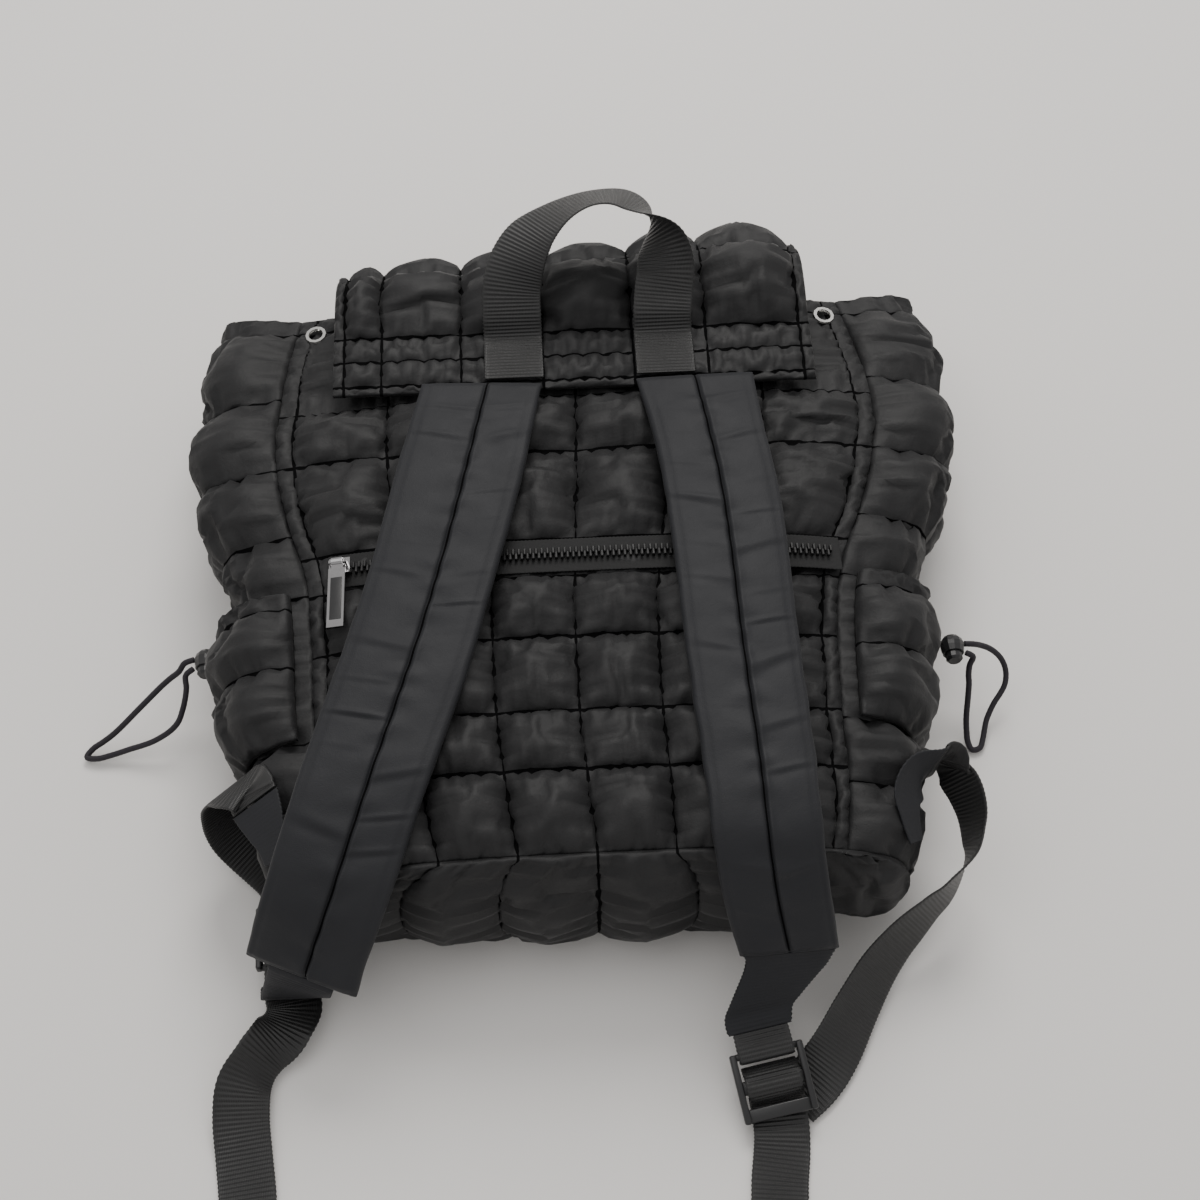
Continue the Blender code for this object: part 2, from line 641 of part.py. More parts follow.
def flap(parts, material):
    lines = row_lines(FLAP_ROWS)

    def outer(across, along):
        puff = FLAP_PUFF * puff_shape(FLAP_COLUMNS, lines, FLAP_ROWS, across, along)
        point = flap_point(across, along, WALL + puff)
        point.z = max(point.z, 0.0)
        return point

    def inner(across, along):
        return flap_point(across, along, 0.0)

    rows = divided(lines[:2], 2) + divided(lines[1:5], 3)[1:] + divided(lines[4:], 2)[1:]
    return padded_panel("flap", divided(FLAP_COLUMNS, 3), rows, outer, inner, parts, material)


# Side pockets

def pocket(side, parts, material):
    lines = row_lines(POCKET_ROWS)

    def surface(across, along, lift):
        y = POCKET_LOW_Y + along * (POCKET_TOP_Y - POCKET_LOW_Y)
        point, outward = body_point(side, across * 0.93, y)
        room = math.sqrt(max(1 - across * across, 0.0)) * math.sin(math.pi / 2 * min(along / 0.55, 1.0))
        seat = PUFF * UNDER_POCKET + 2 * GAP
        return point + outward * (seat + POCKET_DEPTH * room + lift)

    def outer(across, along):
        puff = puff_shape(GUSSET_COLUMNS, lines, POCKET_ROWS, across, along)
        return surface(across, along, WALL + POCKET_PUFF * puff)

    def inner(across, along):
        return surface(across, along, 0.0)

    return padded_panel("pocket_" + side, divided(GUSSET_COLUMNS, 4), divided(lines, 3, 0.15), outer, inner,
                        parts, material)


# Shoulder straps

def strap_path(side):
    """Middle line of a strap: on the puffs of the back, then falling over the base edge."""
    points = []
    edge_y = BASE_Y + 0.010
    for run in STRAP_RUNS[side]:
        y = STRAP_TOP_Y + run.along * (STRAP_END_Y - STRAP_TOP_Y)
        x = run.middle * HALF_WIDTH
        near = abs(x) - run.width * STRAP_WIDTH * 0.5
        seat_y = max(y, edge_y)
        seat = back_height(max(near, 0.0), seat_y) + 5 * GAP + STRAP_THICK / 2
        fall = min(max((edge_y - y) / (edge_y - STRAP_END_Y), 0.0), 1.0)
        seat -= (seat - STRAP_END_Z) * fall ** 1.7
        points.append(Vector((x, y, seat)))
    return points


def shoulder_strap(side, parts, material):
    runs = STRAP_RUNS[side]
    path = resample(strap_path(side), 22)
    directions = tangents(path)
    sections = []
    for i, (point, tangent) in enumerate(zip(path, directions)):
        along = i / (len(path) - 1)
        width = table_value(runs, along, "width") * STRAP_WIDTH
        thick = STRAP_THICK * min(1.0, 0.55 + 5 * along)
        turn = math.radians(STRAP_END_TURN[side]) * max(0.0, (along - 0.75) / 0.25)
        flat = Vector((math.cos(turn), math.sin(turn), 0.0))
        across = (flat - tangent * flat.dot(tangent) * 0.25).normalized()
        lift = tangent.cross(across).normalized()
        sections.append([point + across * edge.across * width / 2 + lift * edge.height * thick / 2
                         for edge in STRAP_SECTION])
    loft("shoulder_strap_" + side, sections, parts, material)
    end_face = across.cross(lift)
    return path[-1], across, end_face if end_face.dot(directions[-1]) > 0 else -end_face


# Strap adjusters

def lock_frame(center, heading, across):
    """Matrix of a strap adjuster: x along its bars, y from the lip to the end bar, z up."""
    y_axis = heading.normalized()
    x_axis = (across - y_axis * across.dot(y_axis)).normalized()
    z_axis = x_axis.cross(y_axis)
    frame = Matrix((x_axis, y_axis, z_axis)).transposed().to_4x4()
    frame.translation = center
    return frame


def ladder_lock(side, frame, parts, cutters, material):
    plate = box_object("ladder_lock_" + side, (LOCK_WIDTH, LOCK_LENGTH, LOCK_THICK), frame, parts, material)
    bevel = plate.modifiers.new("edges", "BEVEL")
    bevel.width = LOCK_THICK * 0.3
    bevel.segments = 1
    half = LOCK_LENGTH / 2
    slots = {"end": (MIDDLE_BAR / 2, half - END_BAR), "lip": (-half + LIP_BAR, -MIDDLE_BAR / 2)}
    for slot, (low, high) in slots.items():
        place = frame @ Matrix.Translation((0, (low + high) / 2, 0))
        size = (LOCK_SLOT, high - low, LOCK_THICK * 3)
        cut(plate, box_object(f"{slot}_slot_{side}", size, place, cutters), cutters)
    return plate


def in_lock(frame, rows):
    """Points given as (along, height) in the adjuster, and its bar direction for each."""
    bar = frame.to_3x3() @ Vector((1, 0, 0))
    return [frame @ Vector((0, along, height)) for along, height in rows], [bar.copy() for _ in rows]


def bar_wrap(reach):
    """Route of webbing up through one slot, over the middle bar and down the other.

    reach is 1 when it runs from the end bar to the lip, -1 the other way.
    """
    over = LOCK_THICK / 2 + WEB_THICK + GAP
    beside = MIDDLE_BAR / 2 + WEB_THICK + GAP
    under = -(LOCK_THICK / 2 + WEB_THICK * 1.5 + 2 * GAP)
    route = [(beside + 0.0035, under * 0.85), (beside + 0.0012, -0.0008), (beside - 0.0006, over * 0.62),
             (MIDDLE_BAR * 0.25, over + 0.0002), (-MIDDLE_BAR * 0.25, over + 0.0002),
             (-beside + 0.0006, over * 0.62), (-beside - 0.0012, -0.0008), (-beside - 0.0045, under)]
    return [(along * reach, height) for along, height in route]


def buckle_loop(side, frame, parts, material):
    """Short webbing from the strap's tip, round the end bar and back."""
    center = LOCK_LENGTH / 2 - END_BAR / 2
    reach = END_BAR / 2 + GAP + WEB_THICK / 2 + 0.0002
    rise = LOCK_THICK / 2 + GAP + WEB_THICK / 2 + 0.0001
    far = center + 0.0095
    route = [(far, rise * 0.55), (center + 0.004, rise), (center, rise + 0.0001),
             (center - reach * 0.86, rise * 0.86), (center - reach - 0.0002, 0.0),
             (center - reach * 0.86, -rise * 0.86), (center, -rise - 0.0001), (center + 0.004, -rise),
             (far, -rise * 0.55)]
    points, across = in_lock(frame, route)
    points = resample(points, 19)
    across = [across[0]] * len(points)
    band("buckle_loop_" + side, points, across, [WEB_WIDTH] * len(points), WEB_THICK, parts, material)
    return far


def strap_tip(side, strap_end, frame, loop_end, parts, material):
    """The flat sewn end between the padded strap and the buckle's loop."""
    start, first_across, leaving = strap_end
    begin = start + leaving * 2 * GAP
    finish = loop_end + 3 * GAP
    bar = frame.to_3x3() @ Vector((1, 0, 0))
    last_across = bar if bar.dot(first_across) > 0 else -bar
    route = [begin + leaving * 0.002, begin + leaving * 0.004, frame @ Vector((0, finish + 0.006, 0)),
             frame @ Vector((0, finish + 0.002, 0))]
    points, across = resample(route, 7, [first_across, first_across, last_across, last_across])
    points = [begin] + points + [frame @ Vector((0, finish, 0))]
    across = [first_across] + across + [last_across]
    first_width = STRAP_WIDTH * table_value(STRAP_RUNS[side], 1.0, "width") * 0.94
    widths = [first_width + (WEB_WIDTH * 1.15 - first_width) * (i / 8) ** 0.8 for i in range(9)]
    return band("strap_tip_" + side, points, across, widths, TIP_THICK, parts, material, skew=True)


def split_ways(ways):
    return [Vector(way.point) for way in ways], [Vector(way.across) for way in ways]


def from_tab(tab):
    """The first points of webbing that leaves a side tab."""
    end, across, heading = tab
    return [end + heading * distance for distance in (0.0012, 0.0035, 0.0080)], [across] * 3


def webbing(name, points, across, lock_middle, parts, material):
    """Webbing along a route, with closer sections where it is bent round an adjuster's bar."""
    points, across = resample(points, 400, across)
    kept = [0]
    for i in range(1, len(points) - 1):
        near = (points[i] - lock_middle).length < LOCK_LENGTH * 0.35
        if (points[i] - points[kept[-1]]).length > (0.0012 if near else 0.0055):
            kept.append(i)
    kept.append(len(points) - 1)
    return band(name, [points[i] for i in kept], [across[i] for i in kept], [WEB_WIDTH] * len(kept), WEB_THICK,
                parts, material)


# Side tabs

def side_tab(side, parts, material):
    """A triangle of cloth from the bag's lower corner to the start of the webbing.

    Returns its far end: the middle, the direction of its width, and where it heads.
    """
    points = []
    across = []
    for step in SIDE_TABS[side]:
        point, outward = body_point(side, step.up, step.y)
        points.append(point + outward * (PUFF + 4 * GAP + WEB_THICK / 2 + step.stand))
        across.append(Vector(step.across))
    widths = [step.width for step in SIDE_TABS[side]]
    band("side_tab_" + side, points, across, widths, WEB_THICK, parts, material)
    return points[-1], across[-1], (points[-1] - points[-2]).normalized()


# Grab handle

def handle_foot(x):
    """Points of a handle foot, stitched flat on the flap's gathered band."""
    feet = []
    for step in range(4):
        along = 0.012 + 0.085 * step / 3
        point = flap_point(x / FLAP_HALF_WIDTH, along, WALL + 3 * GAP + WEB_THICK / 2)
        feet.append(point)
    return feet


def grab_handle(parts, material):
    left, right = handle_foot(HANDLE[0].point[0]), handle_foot(HANDLE[-1].point[0])
    flat = Vector((1, 0, 0))
    points = left + [Vector(way.point) for way in HANDLE] + right[::-1]
    across = [flat] * len(left) + [Vector(way.across) for way in HANDLE] + [flat] * len(right)
    points, across = resample(points, 44, across)
    return band("grab_handle", points, across, [HANDLE_WIDTH] * len(points), WEB_THICK, parts, material)


# Zip

def zip_height(x):
    """Height of the back panel's flat zip row over the whole width of the tape."""
    edges = (ZIP_Y - ZIP_TAPE_WIDTH / 2, ZIP_Y, ZIP_Y + ZIP_TAPE_WIDTH / 2)
    return max(back_height(x, y) - PUFF for y in edges) + GAP


def zip_strip(name, width, thickness, clearance, half_length, parts, material):
    count = 17
    points = []
    for i in range(count):
        x = half_length * (2 * i / (count - 1) - 1)
        points.append(Vector((x, ZIP_Y, zip_height(x) + clearance + thickness / 2)))
    across = [Vector((0, 1, 0))] * count
    return band(name, points, across, [width] * count, thickness, parts, material)


def zip_frame():
    """Matrix on the slider's top: x along the zip, y across it, z off the panel."""
    reach = 0.004
    heading = Vector((2 * reach, 0, zip_height(SLIDER_X + reach) - zip_height(SLIDER_X - reach))).normalized()
    up = heading.cross(Vector((0, 1, 0)))
    frame = Matrix((heading, Vector((0, 1, 0)), up)).transposed().to_4x4()
    over_teeth = 3 * GAP + ZIP_TAPE_THICK + TEETH_THICK + 0.0006
    frame.translation = Vector((SLIDER_X, ZIP_Y, zip_height(SLIDER_X))) + up * over_teeth
    return frame


def rod(name, radius, length, place, collection):
    """A round bar along the zip's direction."""
    bm = bmesh.new()
    bmesh.ops.create_cone(bm, cap_ends=True, segments=12, radius1=radius, radius2=radius, depth=length)
    item = finish_object(name, bm, collection, None)
    place_object(item, place @ Matrix.Rotation(math.radians(90), 4, "Y"))
    item.hide_render = True
    item.display_type = "WIRE"
    return item


def join(item, other):
    other.hide_render = True
    other.display_type = "WIRE"
    boolean = item.modifiers.new("join_" + other.name, "BOOLEAN")
    boolean.operation = "UNION"
    boolean.solver = "EXACT"
    boolean.object = other


def slider(frame, parts, cutters, material):
    """The slider's top plate with a bridge for the puller."""
    plate_place = frame @ Matrix.Translation((0, 0, SLIDER_THICK / 2))
    plate = box_object("zip_slider", (SLIDER_LENGTH, SLIDER_WIDTH, SLIDER_THICK), plate_place, parts, material)
    legs = SLIDER_LENGTH / 2 - 2 * BRIDGE_RADIUS
    size = (SLIDER_LENGTH - 2 * BRIDGE_RADIUS, 2 * BRIDGE_RADIUS, BRIDGE_RISE + BRIDGE_RADIUS)
    middle = SLIDER_THICK + (BRIDGE_RISE + BRIDGE_RADIUS) / 2 - 0.0002
    bridge = box_object("bridge", size, frame @ Matrix.Translation((0, 0, middle)), cutters)
    size = (2 * legs, 4 * BRIDGE_RADIUS, BRIDGE_RISE - BRIDGE_RADIUS + 0.0002)
    middle = SLIDER_THICK + (BRIDGE_RISE - BRIDGE_RADIUS) / 2 - 0.0001
    window = box_object("window", size, frame @ Matrix.Translation((0, 0, middle)), cutters)
    cut(bridge, window, cutters)
    join(plate, bridge)
    return plate


def puller(frame, parts, cutters, material):
    """A flat tab with a knuckle round the slider's bridge, lying towards the base."""
    joint = frame @ Matrix.Translation((0, 0, SLIDER_THICK + BRIDGE_RISE))
    eye = BRIDGE_RADIUS + 2 * GAP
    knuckle = eye + PULLER_EYE_WALL
    neck = knuckle + 0.002
    tab_place = joint @ Matrix.Translation((0, -(neck + PULLER_LENGTH) / 2, 0))
    size = (PULLER_WIDTH, PULLER_LENGTH - neck, PULLER_THICK)
    tab = box_object("zip_puller", size, tab_place, parts, material)
    neck_place = joint @ Matrix.Translation((0, -(neck + GAP) / 2 - GAP, 0))
    join(tab, box_object("puller_neck", (PULLER_NECK, neck, PULLER_THICK * 0.9), neck_place, cutters))
    join(tab, rod("puller_knuckle", knuckle, PULLER_NECK - 0.0002, joint, cutters))
    cut(tab, rod("puller_eye", eye, PULLER_NECK * 3, joint, cutters), cutters)
    return tab


# Eyelets, cord locks and cords

def eyelet_place(side):
    sign = 1 if side == "right" else -1
    lean, half_width, _, _ = body_size(EYELET_Y)
    across = (sign * EYELET_X - lean) / half_width / SIDE_SEAM
    point, outward = body_point("back", across, EYELET_Y)
    point -= outward * dent_depth(across, along_body(EYELET_Y))
    turn = Vector((0, 0, 1)).rotation_difference(outward).to_matrix().to_4x4()
    return Matrix.Translation(point) @ turn


def eyelet(side, panel, parts, cutters, material):
    """A metal ring through the hem, with the cloth pressed flat between its two flanges."""
    top = PUFF * 0.2
    low = -WALL
    profile = [(EYELET_HOLE, low - EYELET_LIP), (EYELET_FLANGE, low - EYELET_LIP), (EYELET_FLANGE, low),
               (EYELET_BARREL, low), (EYELET_BARREL, top), (EYELET_FLANGE, top),
               (EYELET_FLANGE - EYELET_LIP / 2, top + EYELET_LIP),
               (EYELET_HOLE + EYELET_LIP / 2, top + EYELET_LIP), (EYELET_HOLE, top)]
    ring = turned("eyelet_" + side, profile, 12, parts, material)
    place = eyelet_place(side)
    place_object(ring, place)
    wide, narrow, far = EYELET_FLANGE + GAP, EYELET_BARREL + GAP, 3 * WALL
    seat = [(0.0, -far), (wide, -far), (wide, low + GAP), (narrow, low + GAP),
            (narrow, top - GAP), (wide, top - GAP), (wide, far), (0.0, far)]
    cutter = turned("hole_" + side, seat, 12, cutters, None)
    place_object(cutter, place)
    cut(panel, cutter, cutters)


def arc_points(radius, middle, start, end, steps):
    turns = [math.radians(start + (end - start) * i / steps) for i in range(steps + 1)]
    return [(radius * math.sin(turn), middle + radius * math.cos(turn)) for turn in turns]


def cord_lock(side, parts, material, button_material):
    """A round cord lock: a ball-ended barrel, and the push button in its open end."""
    ball = arc_points(LOCK_BALL, 0.0, 0, 105, 5)
    ball[0] = (0.0, LOCK_BALL)
    mouth = -LOCK_BODY_LENGTH + LOCK_BALL
    profile = ball + [(LOCK_BALL * 0.86, mouth), (BUTTON_RADIUS + GAP, mouth),
                      (BUTTON_RADIUS + GAP, mouth + BUTTON_SEAT + 0.0023), (0.0, mouth + BUTTON_SEAT + 0.0023)]
    place = Matrix.Translation(CORD_LOCK_PLACE[side]) @ Matrix.Rotation(math.radians(-90), 4, "X")
    barrel = turned("cord_lock_" + side, profile, 12, parts, material)
    place_object(barrel, place)
    low = mouth - BUTTON_OUT
    button_profile = [(0.0, mouth + BUTTON_SEAT), (BUTTON_RADIUS, mouth + BUTTON_SEAT),
                      (BUTTON_RADIUS, low + 0.0012), (BUTTON_RADIUS * 0.75, low), (0.0, low)]
    button = turned("lock_button_" + side, button_profile, 12, parts, button_material)
    place_object(button, place)


def drawcord(side, parts, material):
    lock = CORD_LOCK_PLACE[side]
    sign = 1 if side == "right" else -1
    surface = LOCK_BALL + GAP
    first = lock + Vector((sign * surface, 0.0010, 0.0))
    last = lock + Vector((sign * surface, -0.0042, 0.0))
    route = [first, first + Vector((sign * 0.004, 0, -0.0006))]
    route += [Vector(point) for point in DRAWCORDS[side]]
    route += [last + Vector((sign * 0.0035, -0.0006, -0.0012)), last]
    points = resample(route, 28)
    curve = bpy.data.curves.new("drawcord_" + side, "CURVE")
    curve.dimensions = "3D"
    curve.bevel_depth = CORD_DIAMETER / 2
    curve.bevel_resolution = 2
    curve.use_fill_caps = True
    spline = curve.splines.new("POLY")
    spline.points.add(len(points) - 1)
    for slot, point in zip(spline.points, points):
        slot.co = (*point, 1.0)
    item = bpy.data.objects.new("drawcord_" + side, curve)
    parts.objects.link(item)
    curve.materials.append(material)


def build():
    clear_scene()
    parts = new_collection("quilted_backpack")
    cutters = new_collection("cutters")
    quilt = make_material("quilted_nylon", (0.021, 0.021, 0.023), 0.55)
    strap = make_material("strap_nylon", (0.019, 0.020, 0.024), 0.55)
    web = make_material("webbing", (0.016, 0.016, 0.018), 0.65)
    tape = make_material("zip_tape", (0.015, 0.015, 0.016), 0.7)
    metal = make_material("gunmetal", (0.30, 0.30, 0.31), 0.25, 1.0)
    nickel = make_material("nickel", (0.72, 0.71, 0.69), 0.22, 1.0)
    plastic = make_material("black_plastic", (0.020, 0.020, 0.021), 0.35)
    cord = make_material("drawcord", (0.014, 0.013, 0.016), 0.75)

    back = body_panel("back_panel", "back", BACK_COLUMNS, BACK_ROWS, parts, quilt)
    body_panel("front_panel", "front", FRONT_COLUMNS, FRONT_ROWS, parts, quilt)
    tabs = {}
    for side in ("left", "right"):
        body_panel("gusset_" + side, side, GUSSET_COLUMNS, GUSSET_ROWS, parts, quilt)
        pocket(side, parts, quilt)
        eyelet(side, back, parts, cutters, nickel)
        cord_lock(side, parts, plastic, plastic)
        drawcord(side, parts, cord)
        tabs[side] = side_tab(side, parts, strap)
    base_panel(parts, quilt)
    flap(parts, quilt)
    grab_handle(parts, web)

    lock_frames = {
        "right": lock_frame(Vector((0.0710, -0.2520, 0.0135)), Vector((-0.18, 0.93, 0.33)),
                            Vector((0.97, 0.16, 0.08))),
        "left": lock_frame(Vector((-0.1430, -0.1715, 0.0105)), Vector((0.05, -1.0, 0.0)),
                           Vector((-1.0, -0.05, 0.0))),
    }
    for side, frame in lock_frames.items():
        strap_end = shoulder_strap(side, parts, strap)
        ladder_lock(side, frame, parts, cutters, plastic)
        loop_end = buckle_loop(side, frame, parts, web)
        strap_tip(side, strap_end, frame, loop_end, parts, strap)

    frame = lock_frames["right"]
    middle = frame.translation.copy()
    wrap, bars = in_lock(frame, bar_wrap(1))
    tail, tail_across = split_ways(TAIL_RIGHT)
    webbing("webbing_tail_right", wrap + tail, bars + tail_across, middle, parts, web)
    start, start_across = from_tab(tabs["right"])
    route, route_across = split_ways(WEB_RIGHT)
    webbing("webbing_right", start + route, start_across + route_across, Vector((0, 0, 1)), parts, web)

    frame = lock_frames["left"]
    middle = frame.translation.copy()
    wrap, bars = in_lock(frame, bar_wrap(-1))
    start, start_across = from_tab(tabs["left"])
    route, route_across = split_ways(WEB_LEFT)
    tail, tail_across = split_ways(TAIL_LEFT)
    webbing("webbing_left", start + route + wrap + tail, start_across + route_across + bars + tail_across, middle,
            parts, web)

    zip_strip("zip_tape", ZIP_TAPE_WIDTH, ZIP_TAPE_THICK, GAP, ZIP_HALF_LENGTH, parts, tape)
    zip_strip("zip_teeth", TEETH_WIDTH, TEETH_THICK, 2 * GAP + ZIP_TAPE_THICK, ZIP_HALF_LENGTH - 0.002, parts, metal)
    frame = zip_frame()
    slider(frame, parts, cutters, metal)
    puller(frame, parts, cutters, metal)


build()
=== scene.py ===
# %% [markdown]
# A quilted puffer backpack, lying on its front with the strap side up. The solid frame comes
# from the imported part. This lesson dresses it: padded panels with gathered seams, ribbed
# webbing, a zip, cord locks and eyelets. Everything is in metres, with +Z up.

# %% Load the frame
import math
from collections import namedtuple

import bmesh
import bpy
from mathutils import Matrix, Vector, noise


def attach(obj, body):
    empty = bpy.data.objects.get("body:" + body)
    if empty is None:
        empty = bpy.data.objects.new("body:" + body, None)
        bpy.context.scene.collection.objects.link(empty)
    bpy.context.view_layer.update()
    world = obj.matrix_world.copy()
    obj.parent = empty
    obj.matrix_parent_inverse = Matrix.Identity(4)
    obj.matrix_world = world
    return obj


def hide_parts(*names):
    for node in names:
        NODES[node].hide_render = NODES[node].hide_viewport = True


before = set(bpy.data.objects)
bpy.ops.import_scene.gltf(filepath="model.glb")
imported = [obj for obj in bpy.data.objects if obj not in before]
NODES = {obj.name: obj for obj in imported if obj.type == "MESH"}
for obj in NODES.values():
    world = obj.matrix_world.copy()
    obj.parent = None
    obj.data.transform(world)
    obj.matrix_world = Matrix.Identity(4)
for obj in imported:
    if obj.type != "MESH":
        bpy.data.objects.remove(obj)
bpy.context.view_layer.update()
print("frame", len(NODES), "nodes")

# %% [markdown]
# The photograph looks down at the bag at about 56 degrees, turned 3 degrees to the right, from
# about 0.8 m up. A lens a little longer than normal gives its mild perspective.

# %% Camera
CAMERA_PLACE = Vector((-0.0189, -0.5145, 0.787))
CAMERA_DOWN = 56.0
CAMERA_TURN = -3.0
LENS = 54.1

camera_data = bpy.data.cameras.new("camera")
camera_data.lens = LENS
camera_data.sensor_width = 36.0
camera_data.clip_start = 0.01
camera = bpy.data.objects.new("camera", camera_data)
bpy.context.scene.collection.objects.link(camera)
camera.location = CAMERA_PLACE
camera.rotation_euler = (math.radians(90.0 - CAMERA_DOWN), 0.0, math.radians(CAMERA_TURN))
bpy.context.scene.camera = camera
print("camera", round(CAMERA_PLACE.length, 2), "m from the middle")

# %% [markdown]
# Smooth curves through a few chosen rows are used everywhere: for the body's outline, the
# straps and the webbing. Blender's curve objects could draw them, but their handles are hard to
# write down by hand. A Hermite curve passes through its rows and needs no handles.

# %% Curves
def hermite(positions, values, at):
    """Smooth value at a position, through rows of a table."""
    last = len(positions) - 1
    at = min(max(at, positions[0]), positions[-1])
    index = next((i for i in range(last) if at <= positions[i + 1]), last - 1)
    slopes = []
    for i in (index, index + 1):
        low, high = max(i - 1, 0), min(i + 1, last)
        slopes.append((values[high] - values[low]) / (positions[high] - positions[low]))
    span = positions[index + 1] - positions[index]
    t = (at - positions[index]) / span
    return ((2 * t**3 - 3 * t**2 + 1) * values[index] + (t**3 - 2 * t**2 + t) * span * slopes[0]
            + (3 * t**2 - 2 * t**3) * values[index + 1] + (t**3 - t**2) * span * slopes[1])


def bell(distance, reach):
    """1 in the middle, and close to 0 from twice its reach."""
    return math.exp(-(distance / reach) ** 2)


def table_value(table, at, column):
    """Smooth value of one column of a table, whose first column is the position."""
    return hermite([row[0] for row in table], [getattr(row, column) for row in table], at)


def chord_lengths(points):
    """Distance of each point from the first, along the points."""
    total = [0.0]
    for before, after in zip(points, points[1:]):
        total.append(total[-1] + (after - before).length)
    return total


def resample(points, count, extra=None):
    """Evenly spaced points on a smooth curve through the given ones; extra vectors follow along."""
    marks = chord_lengths(points)
    fine = 12 * len(points)
    dense = [hermite(marks, points, marks[-1] * i / fine) for i in range(fine + 1)]
    dense_marks = chord_lengths(dense)
    result = []
    followers = []
    step = 0
    for i in range(count):
        goal = dense_marks[-1] * i / (count - 1)
        while step < fine - 1 and dense_marks[step + 1] < goal:
            step += 1
        share = (goal - dense_marks[step]) / (dense_marks[step + 1] - dense_marks[step])
        result.append(dense[step].lerp(dense[step + 1], min(share, 1.0)))
        if extra:
            followers.append(hermite(marks, extra, marks[-1] * (step + share) / fine))
    return (result, followers) if extra else result


def tangents(points):
    """Direction of the path at each of its points."""
    last = len(points) - 1
    return [(points[min(i + 1, last)] - points[max(i - 1, 0)]).normalized() for i in range(last + 1)]


# %% [markdown]
# Each drawcord is a 3 mm braided loop. It leaves its cord lock, lies on the surface and comes
# back, so its whole length shows. A simulation could lay it, but the photograph already shows how
# it lies, so its points are listed one by one. They repeat the route of the part's own cord solid.

# %% Drawcords
GAP = 0.0003
CORD_DIAMETER = 0.003
LOCK_BALL = 0.0060
CORD_LOCK_PLACE = {"left": Vector((-0.1865, -0.0365, 0.0390)), "right": Vector((0.1790, -0.0470, 0.0390))}
DRAWCORDS = {
    "left": [(-0.1990, -0.0372, 0.0345), (-0.2089, -0.0407, 0.0270), (-0.2220, -0.0495, 0.0190),
             (-0.2355, -0.0579, 0.0100), (-0.2450, -0.0622, 0.0050), (-0.2500, -0.0648, 0.0030),
             (-0.2490, -0.0680, 0.0028), (-0.2400, -0.0678, 0.0042), (-0.2286, -0.0660, 0.0070),
             (-0.2150, -0.0645, 0.0120), (-0.2035, -0.0605, 0.0190), (-0.1990, -0.0545, 0.0260),
             (-0.1968, -0.0480, 0.0325)],
    "right": [(0.1920, -0.0450, 0.0365), (0.2000, -0.0452, 0.0315), (0.2060, -0.0478, 0.0255),
              (0.2082, -0.0525, 0.0205), (0.2070, -0.0580, 0.0160), (0.2020, -0.0640, 0.0115),
              (0.1978, -0.0708, 0.0065), (0.1955, -0.0780, 0.0035), (0.1935, -0.0835, 0.0022),
              (0.1900, -0.0860, 0.0020), (0.1875, -0.0830, 0.0028), (0.1868, -0.0780, 0.0055),
              (0.1866, -0.0720, 0.0110), (0.1872, -0.0658, 0.0180), (0.1876, -0.0600, 0.0250),
              (0.1872, -0.0555, 0.0310)],
}


def cord_route(side):
    """A drawcord's listed points, with both ends brought to the ball of its cord lock."""
    lock = CORD_LOCK_PLACE[side]
    sign = 1 if side == "right" else -1
    surface = LOCK_BALL + GAP
    first = lock + Vector((sign * surface, 0.0010, 0.0))
    last = lock + Vector((sign * surface, -0.0042, 0.0))
    route = [first, first + Vector((sign * 0.004, 0, -0.0006))]
    route += [Vector(point) for point in DRAWCORDS[side]]
    return route + [last + Vector((sign * 0.0035, -0.0006, -0.0012)), last]


print("drawcord points", {side: len(cord_route(side)) for side in DRAWCORDS})

# %% [markdown]
# Cords, straps and webbing are all swept: a closed outline is carried along a path, each ring of
# vertices is joined to the one before it, and the two ends are closed. A curve with a bevel could
# sweep too, but its section stays the same all along, and here braids, folds and ribs change it at
# every step. One helper does it for all of them, so each piece only says what its outline is.

# %% Sweeping, and the braid
def new_object(name, bm):
    """Puts a finished bmesh in the scene, shaded smooth."""
    mesh = bpy.data.meshes.new(name)
    bm.to_mesh(mesh)
    bm.free()
    item = bpy.data.objects.new(name, mesh)
    bpy.context.scene.collection.objects.link(item)
    mesh.shade_smooth()
    return item


def swept(bm, points, outline):
    """Carries a closed outline along points and closes its ends. outline(i) gives its ring."""
    rings = []
    for i in range(len(points)):
        rings.append([bm.verts.new(place) for place in outline(i)])
    count = len(rings[0])
    for before, after in zip(rings, rings[1:]):
        for k in range(count):
            bm.faces.new((before[k], before[(k + 1) % count], after[(k + 1) % count], after[k]))
    bm.faces.new(rings[0])
    bm.faces.new(rings[-1][::-1])
    bmesh.ops.recalc_face_normals(bm, faces=bm.faces)
    return rings


def braided_cord(name, points, diameter):
    """A tube whose surface carries the low spiral ribs of a braid."""
    bm = bmesh.new()
    headings = tangents(points)
    side = headings[0].orthogonal().normalized()
    pairs = []
    for heading in headings:
        side = (side - heading * side.dot(heading)).normalized()
        pairs.append((side.copy(), heading.cross(side)))
    around = 14
    marks = chord_lengths(points)

    def ring(i):
        first, second = pairs[i]
        places = []
        for k in range(around):
            angle = 2 * math.pi * k / around
            twist = marks[i] / diameter * 4.2
            plait = math.cos(angle * 3 + twist) * math.cos(angle * 3 - twist)
            radius = diameter / 2 * (0.975 + 0.045 * plait)
            places.append(points[i] + (first * math.cos(angle) + second * math.sin(angle)) * radius)
        return places

    swept(bm, points, ring)
    return new_object(name, bm)


